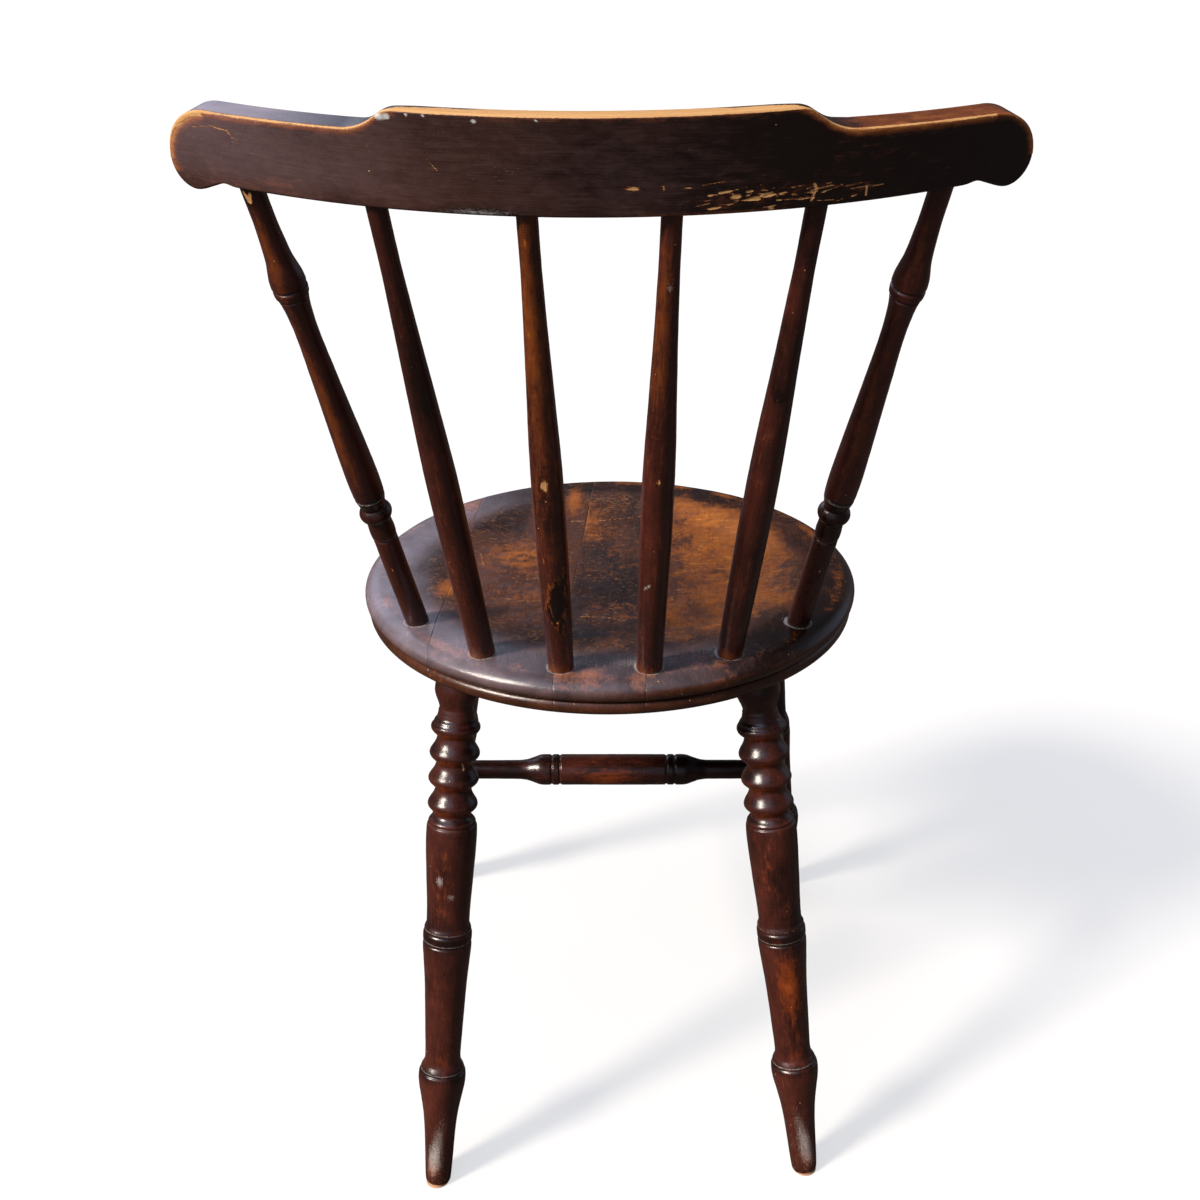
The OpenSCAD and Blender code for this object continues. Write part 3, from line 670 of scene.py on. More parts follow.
def legPaint(side, rear):
    # amber under the bobbins is painted bounce light and their darker tops painted shade; dark in the
    # grooves, painted highlights at the rings, rubbed and dusty at the foot; spots lie at (distance round
    # from the rear, height)
    spots = [("amber", 0.62 if side < 0 else 0.1, (side * 4 + 1, 172), (10, 30)),
             ("amber", 0.25, (-2, 118), (10, 20)), ("amber", 0.18, (4, 262), (8, 30)),
             ("bare", 0.3, (side * 6, 236), (6, 12)), ("bare", 0.2, (-5, 286), (5, 9)),
             ("dustAndSheen", 0.42, (side * 2, 20), (8, 16)), ("bare", 0.34, (side * 3, 14), (8, 11)),
             ("dustAndSheen", 0.52, (side, 40), (6.5, 30), side * 10),
             ("bare", 0.30, (side, 40), (6.5, 30), side * 10)]
    strokes = []
    if side > 0 and rear:
        spots += [("dustAndSheen", 0.74, (6.0, 261), (3.4, 5)), ("dustAndSheen", 0.62, (-3.0, 249), (3.6, 3.4))]
        strokes = [((-7.5, 352), (-8.4, 346), 1.0, 0.9)]

    def paint(marks, s, arc, slope):
        bobbins = s > legShape["bobbins"]
        # painted light on the bobbins: amber undersides for bounce light from the floor, darker tops for
        # shade
        marks["amber"] += 0.5 * smoothStep(slope, 0.15, 1.0) * bobbins
        marks["deep"] += 0.22 * smoothStep(-slope, 0.2, 0.9) * bobbins + 0.12 * (s > legShape["plain"])
        marks["bare"] += 0.8 * smoothStep(-s, -2.6, 0.5)
        marks["dull"] += 0.5 * smoothStep(-s, -70, -10) - 0.2 * bobbins
        # pale lines at the rings: painted highlights
        for ring in legShape["dustRings"]:
            marks["dustAndSheen"] += 0.66 * bell(s - ring, 0.7)
        for ring, width in legShape["darkRings"]:
            marks["deep"] += 0.3 * bell(s - ring, width)
        addSpots(marks, arc, s, spots)
        addStrokes(marks, arc, s, strokes)
    return paint


def postPaint(side):
    # painted light: amber down the lit side of the long swellings; pale lines at the rings are painted
    # highlights
    litAmberShare = 0.5 if side > 0 else 0.28
    spots = [("amber", litAmberShare, (3.5, 205), (5, 62)), ("amber", litAmberShare, (2.5, 325), (4, 26)),
             ("bare", 0.6, (side * 1.5, 62), (1.3, 2.0)), ("bare", 0.4, (2.5, 47), (0.9, 1.2))]
    strokes = []
    if side > 0:
        spots += [("deep", 0.9, (2.6, 361), (4, 5))]
        strokes = [((4.4, 364), (2.6, 358), 1.1, 1.1), ((0.6, 363), (2.6, 358), 1.1, 1.1)]

    def paint(marks, s, arc, slope):
        marks["dustAndSheen"] += 0.6 * smoothStep(-s, -1.8, 0.5)
        marks["deep"] += 0.15 * (s < 128) * (side < 0) + 0.2 * (np.abs(s - 111) < 18)
        # pale lines at the rings: painted highlights
        for ring in post["dustRings"]:
            marks["dustAndSheen"] += 0.75 * bell(s - ring, 0.55)
        addSpots(marks, arc, s, spots)
        addStrokes(marks, arc, s, strokes)
    return paint


def spindlePaint(kind, side):
    # kind 0 is an inner spindle and kind 1 an outer one; the left inner one has a large flake
    flaked = kind == 0 and side > 0
    spots = {
        (0, 1): [("bare", 1.0, (1.2, 164), (2.6, 4.6)), ("bare", 0.6, (1.0, 152), (1.4, 1.8))],
        (0, -1): [("bare", 0.75, (0.3, 167), (2.2, 2.0)), ("bare", 0.6, (1.6, 112), (1.0, 1.0)),
                  ("bare", 0.42, (-1.0, 302), (3.0, 7)), ("dustAndSheen", 0.7, (-1.0, 299), (2.2, 3.6))],
        (1, -1): [("bare", 0.4, (2.0, 222), (1.6, 2.0)), ("deep", 0.5, (1.5, 224), (3.0, 4.0))],
    }.get((kind, side), [])
    # painted light: amber down the lit side of the inner spindles' upper part
    if kind == 0:
        spots = spots + [("amber", 0.3, (3, 268), (6, 60))]

    def paint(marks, s, arc, slope):
        marks["dustAndSheen"] += 0.55 * smoothStep(-s, -1.6, 0.5)
        marks["amber"] += 0.1 + 0.34 * smoothStep(-s, -16, -2)
        marks["deep"] += 0.05 * (kind == 1)
        addSpots(marks, arc, s, spots)
        if flaked:
            marks["amber"] += 0.16 * smoothStep(s, 40, 200)
            flake = spot(arc, s, (-1.8, 66), (7.0, 24), 6)
            flake = flake + 0.34 * ripple(np.stack([arc, 0 * s, 0.4 * s], axis=-1), 5, 44)
            marks["deep"] += 2.2 * smoothStep(flake, 0.42, 0.52)
            marks["amber"] += 0.7 * bell(flake - 0.40, 0.05)
            addStrokes(marks, arc, s, [((4.2, 72), (2.8, 58), 0.6, 0.5), ((2.8, 58), (-0.5, 48), 0.6, 0.5),
                                       ((-0.5, 48), (-3.4, 55), 0.6, 0.5)])
        if kind == 0 and side < 0:
            marks["dustAndSheen"] += 1.3 * stroke(arc, s, (6.4, 78), (2.0, 83), 0.7)
    return paint


def stretcherPaint(half):
    # amber on the plain middle, dark outwards from it
    def paint(marks, s, arc, slope):
        addSpots(marks, arc, s, [("amber", 0.34, (0, half), (14, 30)),
                             ("amber", 0.3, (6, half + 8), (6, 12))])
        marks["deep"] += 0.12 + 0.25 * smoothStep(np.abs(s - half), 40, 48)
    return paint


def turnedStretcher(node, low, high, middle, seed):
    half = np.linalg.norm(high - low) / 2
    turnedPiece(node, low, high, stretcherShape(middle, half), "legVarnish", stretcherPaint(half), seed)
    return (low + high) / 2


for node, rear, side in [("leg_front_left", False, 1), ("leg_front_right", False, -1),
                         ("leg_rear_left", True, 1), ("leg_rear_right", True, -1)]:
    turnedPiece(node, *legEnds(rear, side), legShape, "legVarnish", legPaint(side, rear), 3 + 2 * rear + side)
print("legs turned")

for node, side in [("back_post_left", 1), ("back_post_right", -1)]:
    low, high = uprightEnds(2, side)
    shape = postShape(np.linalg.norm(high - low))
    turnedPiece(node, low, high, shape, "spindleVarnish", postPaint(side), 11 + side)
for node, kind, side in [("back_spindle_outer_left", 1, 1), ("back_spindle_inner_left", 0, 1),
                         ("back_spindle_inner_right", 0, -1), ("back_spindle_outer_right", 1, -1)]:
    turnedPiece(node, *uprightEnds(kind, side), spindleShape, "spindleVarnish", spindlePaint(kind, side),
                21 + 3 * kind + side)
print("posts and spindles turned")

left, right = [turnedStretcher(node, alongLeg(True, side), alongLeg(False, side),
                               stretcher["sideMiddle"], 31 + side)
               for node, side in [("side_stretcher_left", 1), ("side_stretcher_right", -1)]]
turnedStretcher("cross_stretcher", right, left, stretcher["crossMiddle"], 35)
print("stretchers turned")


def railTop(x):
    # raised middle, a convex and a hollow arc down to the wing, and a quarter oval at its end;
    # the wing on the sitter's left stands a little higher than the other
    hand = np.clip(x / 60, -1, 1)
    high = rail["wing"] + rail["wingTilt"] * hand
    last = rail["wingEnd"] + rail["endTilt"] * hand
    x = np.abs(x)
    slope = math.radians(rail["stepSlope"])
    stepTop, stepFoot = rail["stepTop"], rail["stepFoot"]
    topX = rail["stepX"] + stepTop * math.sin(slope)
    topZ = rail["rise"] - stepTop + stepTop * math.cos(slope)
    drop = stepFoot * (1 - math.cos(slope))
    footX = topX + (topZ - high - drop) / math.tan(slope)
    endX = rail["width"] / 2 - rail["endTop"]
    flatX = footX + stepFoot * math.sin(slope)
    crown = rail["rise"] - stepTop + np.sqrt(np.clip(stepTop ** 2 - (x - rail["stepX"]) ** 2, 0, None))
    ramp = topZ - (x - topX) * math.tan(slope)
    hollow = high + stepFoot - np.sqrt(np.clip(stepFoot ** 2 - (x - flatX) ** 2, 0, None))
    wing = high + (last - high) * (x - flatX) / (endX - flatX)
    oval = np.sqrt(np.clip(1 - ((x - endX) / rail["endTop"]) ** 2, 0, None))
    corner = rail["endMid"] + (last - rail["endMid"]) * oval
    return np.select([x <= rail["stepX"], x <= topX, x <= footX, x <= flatX, x <= endX],
                     [rail["rise"] + 0 * x, crown, ramp, hollow, wing], corner)


def railFoot(x):
    # straight, then a small rise, a slow fall to the lobe, and a quarter oval up to the end
    x = np.abs(x)
    centre = rail["width"] / 2 - rail["endLow"]
    depth = rail["endMid"] + rail["lobe"]
    arc = rail["endMid"] - depth * np.sqrt(np.clip(1 - ((x - centre) / rail["endLow"]) ** 2, 0, None))
    fall = rail["swell"] * bell(x - rail["lobeFrom"] + 1, 4)
    fall = fall - rail["lobe"] * smoothStep(x, rail["lobeFrom"], rail["lobeTo"])
    return np.where(x > centre, np.maximum(arc, fall), fall)


def outline(x, curve, sign):
    # points of the curve and their outward normals, level at the two ends
    half = rail["width"] / 2
    nudge = 1e-3
    inside = np.clip(x, -half + nudge, half - nudge)
    tangent = (curve(inside + nudge) - curve(inside - nudge)) / (2 * nudge)
    tangent = np.where(np.abs(x) >= half - nudge, np.where(x > 0, -sign, sign) * 1e6, tangent)
    normal = np.stack([-tangent * sign, np.full(len(x), float(sign))], axis=-1)
    normal /= np.linalg.norm(normal, axis=1, keepdims=True)
    return np.stack([x, curve(x)], axis=-1), normal


def roundedEdge(edge, normal, radius, front):
    # quarter circle from the face round to the edge, or back again at the front, set in along the normal
    turns = np.linspace(0, np.pi / 2, 7)
    if front:
        turns = turns[::-1]
    inset = radius[:, None] * (1 - np.sin(turns))[None, :]
    depth = radius[:, None] * (1 - np.cos(turns))[None, :]
    return edge[:, None, :] - normal[:, None, :] * inset[..., None], rail["thick"] - depth if front else depth


def between(first, second, count, ease=1.0):
    # straight rows from the last point of one rounded edge to the first point of the next
    t = np.linspace(0, 1, count + 1)[1:-1] ** ease
    place = first[0][:, -1:, :] * (1 - t)[None, :, None] + second[0][:, :1, :] * t[None, :, None]
    return place, first[1][:, -1:] * (1 - t)[None, :] + second[1][:, :1] * t[None, :]


def railSurface():
    # a closed section of face, rounded edges, top, front and foot, carried from end to end
    endX = rail["width"] / 2 - rail["endTop"]
    middle = np.concatenate([np.arange(-endX, -140, rail["coarse"]), np.arange(-140, -40, rail["fine"]),
                             np.arange(-40, endX, rail["coarse"]), [endX]])
    turn = np.linspace(0, np.pi / 2, 34)[1:]
    x = np.concatenate([-(endX + rail["endTop"] * np.sin(turn))[::-1], middle,
                        endX + rail["endTop"] * np.sin(turn)])
    top = outline(x, railTop, 1)
    foot = outline(x, railFoot, -1)
    # the raised middle is rounded well over to the front, the wings only a little
    raised = smoothStep(-np.abs(x), -134, -112)
    frontRound = rail["wingRound"] + (rail["middleRound"] - rail["wingRound"]) * raised
    frontRound = frontRound + 3 * bell(np.abs(x) - 112, 12)
    uneven = ripple(np.stack([x, 0 * x, 0 * x], axis=-1), 40, 5)
    lowRound = np.full(len(x), rail["lowRound"])
    rearTop = roundedEdge(*top, rail["rearRound"] * (1 + 0.35 * raised + 0.2 * uneven), False)
    frontTop = roundedEdge(*top, frontRound, True)
    frontLow, rearLow = [[part[:, ::-1] for part in roundedEdge(*foot, lowRound, front)]
                          for front in (True, False)]
    order = [rearTop, between(rearTop, frontTop, 10), frontTop, between(frontTop, frontLow, 22), frontLow,
             between(frontLow, rearLow, 8), rearLow, between(rearLow, rearTop, 86, 1.35)]
    place, depth = [np.concatenate([part[i] for part in order], axis=1) for i in (0, 1)]
    return np.stack([place[..., 0], place[..., 1], depth], axis=-1)


# Wear on the rail's rear face, by (distance to the sitter's left, height above the straight foot)
railWear = {
    "spots": [("amber", 0.2, (190, 6), (60, 9)), ("amber", 0.14, (-150, 30), (50, 30)),
              # the pale patch at (44, 26) is dust and painted sheen
              ("deep", 0.12, (60, 45), (60, 12)), ("dustAndSheen", 0.198, (44, 26), (44, 15)),
              # scuffs along the lower edge
              ("deep", 0.5, (62, 1), (24, 5)), ("dustAndSheen", 0.55, (62, 2), (24, 3)),
              ("amber", 0.9, (-62, 0), (44, 1.6)),
              # the long patch scraped by other furniture
              ("bare", 0.95, (-73, 10), (3.6, 1.5), -4), ("bare", 0.9, (-84, 8.6), (3.0, 1.2), -4),
              ("bare", 0.9, (-61, 4.0), (3.4, 0.9), -6), ("bare", 0.8, (-92, 1.8), (1.8, 1.3)),
              ("bare", 0.8, (-19, 16.5), (4.2, 1.4)), ("bare", 0.7, (-35, 16.5), (1.2, 2.0)),
              ("bare", 0.7, (-48, 16), (3.0, 0.6)), ("bare", 0.9, (-115, 12), (1.2, 2.6), -20),
              ("bare", 0.8, (-114, 6), (1.0, 3.0), 20), ("amber", 0.2, (-84, 9), (46, 8))],
    "scratches": [((-143, 4), (-143, 9), 0.6, 0.9), ((-146, 8.6), (-152, 9), 0.5, 0.7),
                  ((229, 31), (224, 33.5), 0.5, 0.6), ((219, 32), (207, 34.5), 0.5, 0.55),
                  ((206, 34), (198, 33), 0.6, 0.62), ((198, 32), (194, 27), 0.5, 0.6),
                  ((88, 30), (83, 24), 0.4, 0.6), ((120, 37), (118, 30), 0.4, 0.5)],
    "fillers": [((111.5, 51.2), (2.2, 1.4)), ((107.4, 51.6), (1.5, 1.3)), ((97, 53.2), (0.7, 0.6)),
                ((62, 51.6), (1.1, 0.9)), ((88, 53.2), (0.9, 0.5)), ((30, 53.0), (0.8, 0.5))],
    "strokes": 58, "strokeSeed": 12,
}


def scrapedStrokes():
    # short strokes that climb a little outwards, thickest in the middle of the patch
    draw = np.random.default_rng(railWear["strokeSeed"])
    for k in range(railWear["strokes"]):
        x = -46 - 92 * draw.beta(1.7, 2.0)
        z = 9.0 + 0.02 * (x + 90) + draw.normal() * 3.6
        long = 2.0 + 10 * draw.random() ** 2
        rise = math.radians(4 + 6 * draw.normal())
        amount = 0.42 + 0.38 * draw.random()
        end = (x - long * math.cos(rise), z + long * math.sin(rise))
        yield (x, z), end, 0.24 + 0.26 * draw.random(), amount


def railMarks(surface, depth):
    # wear by height, by distance to the sitter's left and by depth behind the rear face
    px, pz = surface[..., 0], surface[..., 1]
    marks = {mark: 0 * px for mark in markNames}
    rear = np.clip(1 - depth / 3.0, 0, 1)
    centre = smoothStep(-np.abs(px), -108, -101)
    # depth below the top edge, and past the wings the depth in from the oval end
    endX = rail["width"] / 2 - rail["endTop"]
    tall = rail["wingEnd"] - rail["endMid"]
    outward = np.hypot((np.abs(px) - endX) / rail["endTop"], (pz - rail["endMid"]) / tall)
    atEnd = (np.abs(px) > endX) & (pz > rail["endMid"])
    below = np.where(atEnd, rail["endTop"] * (1 - outward), railTop(px) - pz)
    upper = below < 6

    # the rear arris is rubbed to bare wood: a thin line on the wings, most of the top in the middle
    width = 0.85 + 0.9 * smoothStep(px, 205, 222)
    line = bell(depth - 0.5, 1.0) * bell(np.clip(below, 0, None), width) * upper
    reach = 1.0 + 9.0 * np.clip(1 - (px / 114) ** 2, 0, None) ** 0.7
    rubbed = smoothStep(reach - depth, -1.0, 1.0) * smoothStep(-below, -1.3, -0.6) * centre * upper
    marks["bare"] += line * (0.95 + 0.35 * ripple(surface, 22, 15))
    marks["bare"] += rubbed * (0.95 + 0.3 * ripple(surface, 16, 16))
    marks["amber"] += 0.75 * bell(below - 1, 2.6) * rear * (1 - 0.6 * centre) * upper
    marks["amber"] += 0.55 * (1 - rear) * smoothStep(-px, 120, 150) * upper
    gap = np.hypot(np.abs(px) - 212, pz - 13)
    marks["amber"] += (0.8 * smoothStep(gap, 18, 27) * smoothStep(np.abs(px), 210, 226) * (pz > 4) * rear
                       * np.where(px > 0, 1, 0.45))
    marks["deep"] += rear * (0.62 * smoothStep(-px, -130, 130) - 0.22)
    marks["deep"] += 0.3 * (1 - rear) * smoothStep(px, -130, -90)
    marks["dull"] += 0.7 * smoothStep(px, -20, 160) * rear
    # grey dust and painted sheen on the sitter's left of the rear face, and painted sheen a little in the
    # middle and on the top of the left wing
    marks["dustAndSheen"] += 0.22 * smoothStep(px, 20, 200) * smoothStep(pz, 4, 22) * rear
    marks["paintedSheenMark"] += 0.19 * smoothStep(px, 40, 200) * rear * smoothStep(pz, -6, 16)
    marks["paintedSheenMark"] += 0.05 * spot(px, pz, (0, 24), (70, 30))
    marks["paintedSheenMark"] += 0.75 * (1 - rear) * upper * smoothStep(px, 120, 190) * smoothStep(-px, -234, -216)
    addSpots(marks, px, pz, railWear["spots"], rear)
    addSpots(marks, px, pz, [("dustAndSheen", 2.4, place, reach, 15) for place, reach in railWear["fillers"]], rear)
    addStrokes(marks, px, pz, scrapedStrokes(), rear)
    addStrokes(marks, px, pz, railWear["scratches"], rear)
    return marks, rear


def makeRail():
    # the flat section with its wear, then bent and leaned back
    surface = railSurface()
    # the rear face is a little uneven, and lower where it is worn to bare wood
    depth = surface[..., 2] + 0.12 * ripple(surface, 60, 8) * (surface[..., 2] < 1)
    marks, rear = railMarks(surface, depth)
    depth = depth + 0.4 * np.clip(marks["bare"] - 0.45, 0, 0.8) * rear
    px, pz = surface[..., 0], surface[..., 1]
    points = railPlace(px, pz, depth).reshape(-1, 3)
    values = {"own": np.stack([pz, depth, px], axis=-1).reshape(-1, 3) * mm}
    values.update({mark: value.ravel() for mark, value in marks.items()})
    mergeClose(makePiece("bent_crest_rail", points, [gridFaces(*px.shape)], values, finish["crestVarnish"],
                         "crest_rail"))
    print("crest rail bent,", px.size, "points")


makeRail()


seat = {
    "radius": 190.0, "joints": (-37, 26, 119), "skew": 2.8, "gap": 0.03, "flat": 166.0,
    "dish": 4.0, "dishEdge": 152.0, "dishSlope": 46.0, "crown": 1.5,
    "rollIn": 12.0, "roll": 16.7, "rollShare": 0.4, "groove": 4.5, "inset": 2.5,
    "row": 1.4, "column": 1.35, "jointDrop": 0.16, "jointWidth": 0.35,
}


def rimProfile():
    # from the flat of the top over the roll, into the groove, round the bead and in under the seat
    radius = max((seatHigh[0] - seatLow[0]) / 2, seat["radius"])
    top, under = seatHigh[2], seatLow[2]
    rollLow = top - seat["roll"]
    rollMid = rollLow + seat["roll"] * seat["rollShare"]
    grooveR = radius - seat["groove"]
    beadR = (rollLow - under) / 2
    beadX, beadZ = radius - seat["inset"] - beadR, under + beadR
    flatPart = [(r, top) for r in np.linspace(seat["flat"], radius - seat["rollIn"], 7)[:-1]]
    upper = [(radius - seat["rollIn"] * (1 - math.sin(a)), rollMid + (top - rollMid) * math.cos(a))
             for a in np.linspace(0, math.pi / 2, 16)]
    lower = [(grooveR + (radius - grooveR) * math.cos(a), rollMid - (rollMid - rollLow) * math.sin(a))
             for a in np.linspace(0, math.pi / 2, 9)[1:]]
    bead = [(beadX + beadR * math.cos(a), beadZ + beadR * math.sin(a))
            for a in np.linspace(math.radians(68), -math.pi / 2, 18)]
    back = [(r, under) for r in np.linspace(beadX, seat["flat"], 6)[1:]]
    return np.array(flatPart + upper + lower + bead + back)


def seatTop(r):
    # an eased fall from the border into the shallow dish
    return seatHigh[2] - seat["dish"] * smoothStep(-r, -seat["dishEdge"],
                                                   -(seat["dishEdge"] - seat["dishSlope"]))


# Wear on the seat by place in plan, from its middle: x to the sitter's left, y to the rear
seatWear = {
    "warmRight": [("amber", 0.50, (-104, -66), (60, 110)), ("amber", 0.26, (-92, 60), (50, 60)),
                  ("amber", 0.36, (-88, -120), (48, 44))],
    "middle": [("amber", 0.32, (22, -88), (16, 42)), ("deep", 0.30, (-14, 40), (26, 44))],
    "left": [("amber", 0.50, (66, -26), (34, 34)), ("amber", 0.3, (58, 60), (34, 36))],
    "anywhere": [("amber", 0.85, (119, 36), (12, 20), -24), ("amber", 0.4, (122, -120), (22, 16)),
                 ("amber", 0.7, (33, -138), (7, 30)), ("deep", 0.4, (146, 20), (16, 90)),
                 ("deep", 0.25, (60, 112), (60, 22))],
    "knot": (68, -20), "knotRing": 2.2, "knotSize": 30, "knotEye": 5.5,
    # long scratches: start, end and how far the middle is bent aside
    "scratches": [((84, 50), (38, 52), 7), ((20, 82), (-14, 90), -3), ((34, -96), (-26, -108), 3),
                  ((-48, -20), (-84, -12), 5), ((-46, 36), (-72, 44), -3), ((-52, 6), (-96, -2), -4),
                  ((104, -30), (96, -4), 8), ((-60, -70), (-92, -62), 4), ((-56, -44), (-66, -30), 4),
                  ((-76, -52), (-70, -34), -3), ((-60, -92), (-78, -96), 3), ((-96, -40), (-110, -52), 4),
                  ((-50, -58), (-58, -72), -3), ((-84, -88), (-98, -80), 2), ((50, 10), (66, 18), 3)],
    "scratchWidth": 0.62, "scratchAmount": 0.64,
}


def seatMarks(x, y, z, u):
    # u runs across the boards, which lie a little askew
    r = np.hypot(x, y)
    top = smoothStep(z, seatHigh[2] - 9, seatHigh[2] - 6)
    dished = smoothStep(-r, -160, -138)
    border = smoothStep(r, 128, 158)
    marks = {mark: 0 * x for mark in markNames}
    rough = ripple(np.stack([x, y, 0 * x], axis=-1), 42, 3)
    patchy = ripple(np.stack([x, y, 0 * x], axis=-1), 17, 4)
    marks["dull"] += (0.55 + 0.35 * patchy) * dished * top

    # each board took the stain in its own way
    onRight = smoothStep(-u, 36.6, 37.4) * top
    onMiddle = smoothStep(u, -37.4, -36.6) * smoothStep(-u, -26.4, -25.6) * top
    onLeft = smoothStep(u, 25.6, 26.4) * top
    faded = onRight * (0.35 + 0.65 * dished)
    marks["amber"] += faded * (0.14 + 0.20 * rough + 0.16 * patchy)
    marks["amber"] += onMiddle * (0.20 + 0.12 * rough) + 0.08 * onLeft
    marks["deep"] += 0.14 * onMiddle * dished
    addSpots(marks, x, y, seatWear["warmRight"], faded)
    addSpots(marks, x, y, seatWear["middle"], onMiddle)
    addSpots(marks, x, y, seatWear["left"], onLeft)
    addSpots(marks, x, y, seatWear["anywhere"], top)

    # the knot: rings of lighter and darker wood round a dark eye
    knotX, knotY = seatWear["knot"]
    knot = np.hypot((x - knotX) / 1.15, y - knotY) + 3.5 * patchy
    marks["amber"] += top * 0.16 * np.cos(knot / seatWear["knotRing"]) * bell(knot, seatWear["knotSize"])
    marks["deep"] += top * 0.8 * bell(knot, seatWear["knotEye"])
    # the dark repaired strip at the front left, straight at its sides
    strip = top * smoothStep(u, 74, 75.5) * smoothStep(-u, -119, -118) * smoothStep(-y, 68, 78)
    marks["deep"] += 0.22 * strip
    marks["amber"] -= 0.55 * strip
    marks["dustAndSheen"] += 0.08 * strip

    # the border: dark, amber at the turn of the roll and redder between the spindles
    marks["deep"] += top * 0.3 * smoothStep(r, 146, 160)
    marks["amber"] += 0.34 * top * smoothStep(r, 170, 176) * smoothStep(-r, -184, -178) * (0.6 + 0.6 * rough)
    marks["amber"] += top * 0.13 * border * smoothStep(y, 100, 130) * (0.5 + 0.8 * rough)
    # grime round the foot of every upright
    for angle in np.radians(layout["socketAngles"]):
        for side in (-1, 1):
            atX, atY = side * layout["socketRing"] * math.sin(angle), layout["socketRing"] * math.cos(angle)
            marks["dustAndSheen"] += top * 0.92 * bell(np.hypot(x - atX, y - atY) - 9.2, 1.2)
            marks["dustAndSheen"] += top * 0.34 * spot(x, y, (atX - side * 8, atY - 6), (17, 10))
    marks["dustAndSheen"] += top * 0.24 * smoothStep(y, 118, 150) * smoothStep(-r, -172, -160)

    # painted sheen on the border and the roll, strongest on the sitter's left and between the spindles
    marks["paintedSheenMark"] += border * top * (0.54 * smoothStep(x, 20, 170)
                                      + 0.24 * smoothStep(y, 96, 140) * smoothStep(x, -130, -40))
    rim = 1 - top
    marks["paintedSheenMark"] += rim * 0.36 * smoothStep(x, -70, 90) * smoothStep(z, seatHigh[2] - 17, seatHigh[2] - 9)
    marks["amber"] += rim * (0.04 + 0.2 * rough)
    marks["deep"] += rim * 0.05
    width = seatWear["scratchWidth"]
    for start, end, bend in seatWear["scratches"]:
        middle = ((start[0] + end[0]) / 2, (start[1] + end[1]) / 2 + bend)
        scratch = np.maximum(stroke(x, y, start, middle, width), stroke(x, y, middle, end, width))
        marks["bare"] += top * seatWear["scratchAmount"] * scratch
    return marks


def cutAngle(cut, fallback, radius):
    # angle at which a circle of each radius meets the cut, or the fallback on a board's round side
    return np.full_like(radius, fallback) if cut is None else np.arcsin(np.clip(cut / radius, -1, 1))


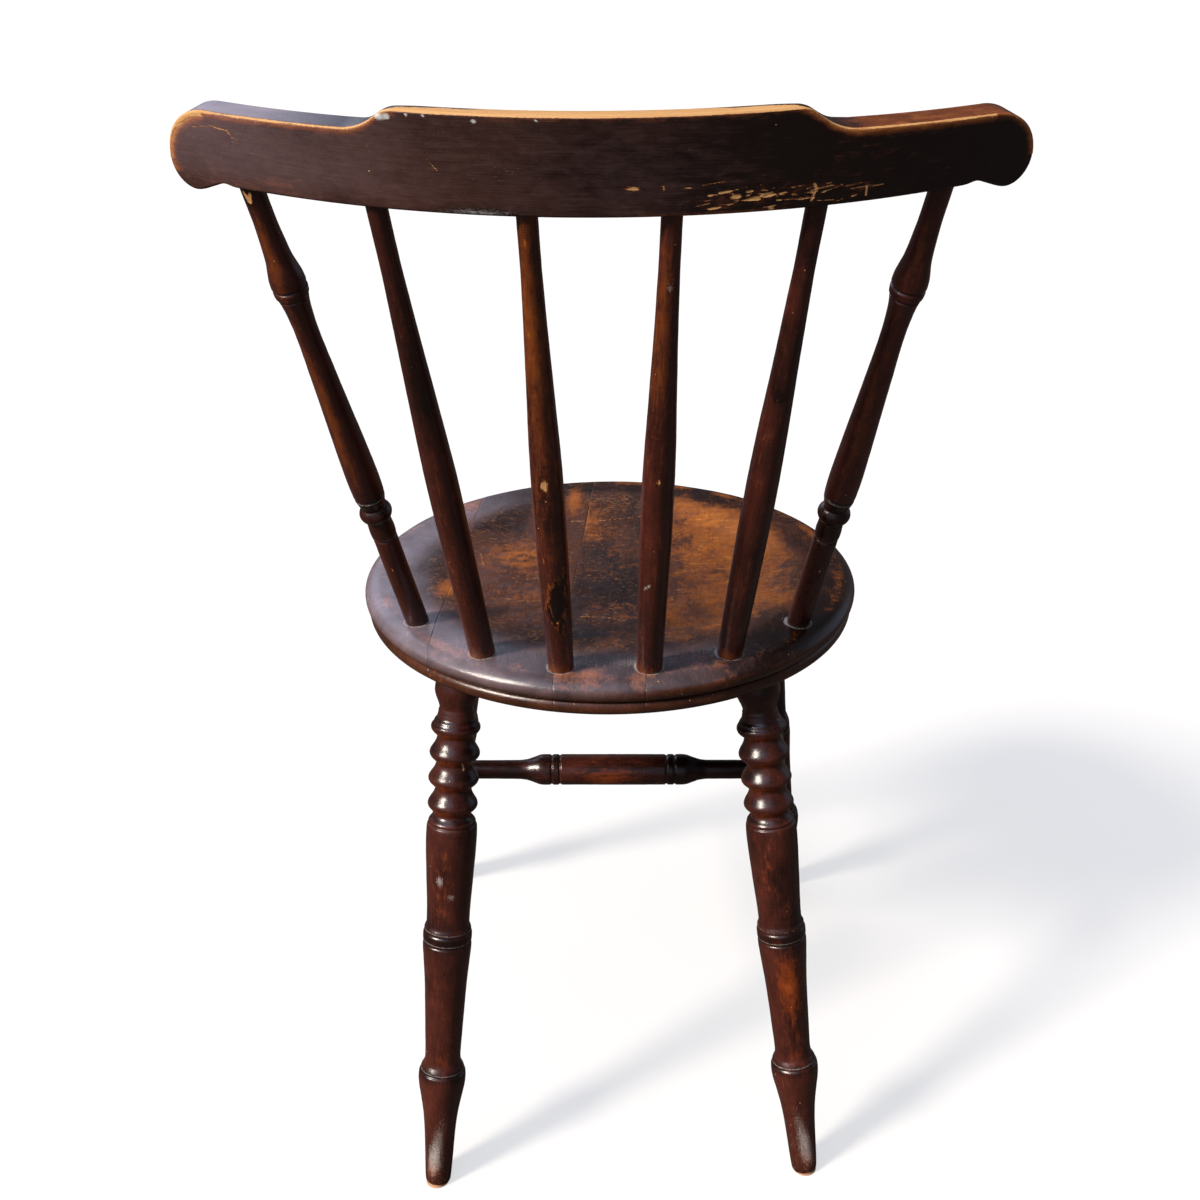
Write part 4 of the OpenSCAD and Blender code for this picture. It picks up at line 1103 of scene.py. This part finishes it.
def makeBoard(name, node, low, high, seed):
    # rows run across the board and each row is a closed section cut by a plane along the fibre:
    # straight over the top, round the rim, back under the seat and up round the other rim
    radii, heights = rimProfile().T
    flat = seat["flat"]
    lowCut = None if low is None else low + seat["gap"] / 2
    highCut = None if high is None else high - seat["gap"] / 2
    first, last = cutAngle(lowCut, -math.pi / 2, radii), cutAngle(highCut, math.pi / 2, radii)

    # rows are closer beside the glue joints, where the edge is rounded
    width = flat * (last[0] - first[0])
    close = np.array([0.2, 0.5, 1.0, 1.7]) / width
    even = np.linspace(2.6 / width, 1 - 2.6 / width, int(width / seat["row"]))
    t = np.concatenate([[0], close, even, 1 - close[::-1], [1]])
    angles = first[None, :] + (last - first)[None, :] * t[:, None]
    rimU = radii[None, :] * np.sin(angles)
    rimV = radii[None, :] * np.cos(angles)
    rimZ = np.broadcast_to(heights, rimU.shape)
    span = np.linspace(-1, 1, int(2 * flat / seat["column"]) + 1)[1:-1]
    flatU = np.broadcast_to(rimU[:, :1], (len(t), len(span)))
    flatV = rimV[:, :1] * span[None, :]
    underU = np.broadcast_to(rimU[:, -1:], flatU.shape)
    underV = rimV[:, -1:] * span[None, ::-1]
    u = np.concatenate([flatU, rimU, underU, rimU[:, ::-1]], axis=1)
    v = np.concatenate([flatV, rimV, underV, -rimV[:, ::-1]], axis=1)
    z = np.concatenate([seatTop(np.hypot(flatU, flatV)), rimZ, np.full_like(underU, seatLow[2]),
                        rimZ[:, ::-1]], axis=1)

    # the boards have moved a little, so each glue joint shows as a fine rounded line
    drop = np.zeros_like(u)
    for cut in (lowCut, highCut):
        if cut is not None:
            drop += seat["jointDrop"] * bell(u - cut, seat["jointWidth"])
    upward = smoothStep(z, seatHigh[2] - 12, seatHigh[2] - 3)
    r = np.hypot(u, v)
    outward = np.where(r > flat + 2, 1 - upward, 0)
    # the border falls gently from the dish to the roll
    z = z - (drop + seat["crown"] * smoothStep(r, seat["dishEdge"], seat["radius"])) * upward
    scale = 1 - drop * outward / np.maximum(r, 1)
    u, v = u * scale, v * scale
    place = np.stack([u, v, z], axis=-1)
    z = z + (0.18 * ripple(place, 70, seed) + 0.06 * ripple(place, 16, seed + 1)) * upward

    # the boards lie at an angle to the front-to-back line
    c, s = math.cos(math.radians(seat["skew"])), math.sin(math.radians(seat["skew"]))
    x = u * c + v * s
    y = v * c - u * s
    points = np.stack([x + seatMid[0], y + seatMid[1], z], axis=-1).reshape(-1, 3)
    values = {"own": np.stack([u, z, v], axis=-1).reshape(-1, 3) * mm + seed * 0.53}
    values.update({mark: value.ravel() for mark, value in seatMarks(x, y, z, u).items()})
    rows, count = u.shape
    section = np.arange(count)
    caps = []
    if low is not None:
        caps.append(section[None, ::-1])
    if high is not None:
        caps.append((rows - 1) * count + section[None, :])
    mergeClose(makePiece(name, points, [gridFaces(rows, count)] + caps, values,
                         finish["seatVarnish"],
                         node, flat=len(caps)))
    print("seat board made,", rows * count, "points")


cuts = (None, *seat["joints"], None)
for k, name in enumerate(("board_right", "board_middle", "board_left", "board_left_edge")):
    makeBoard(name, "seat_" + name, cuts[k], cuts[k + 1], 1 + 3 * k)
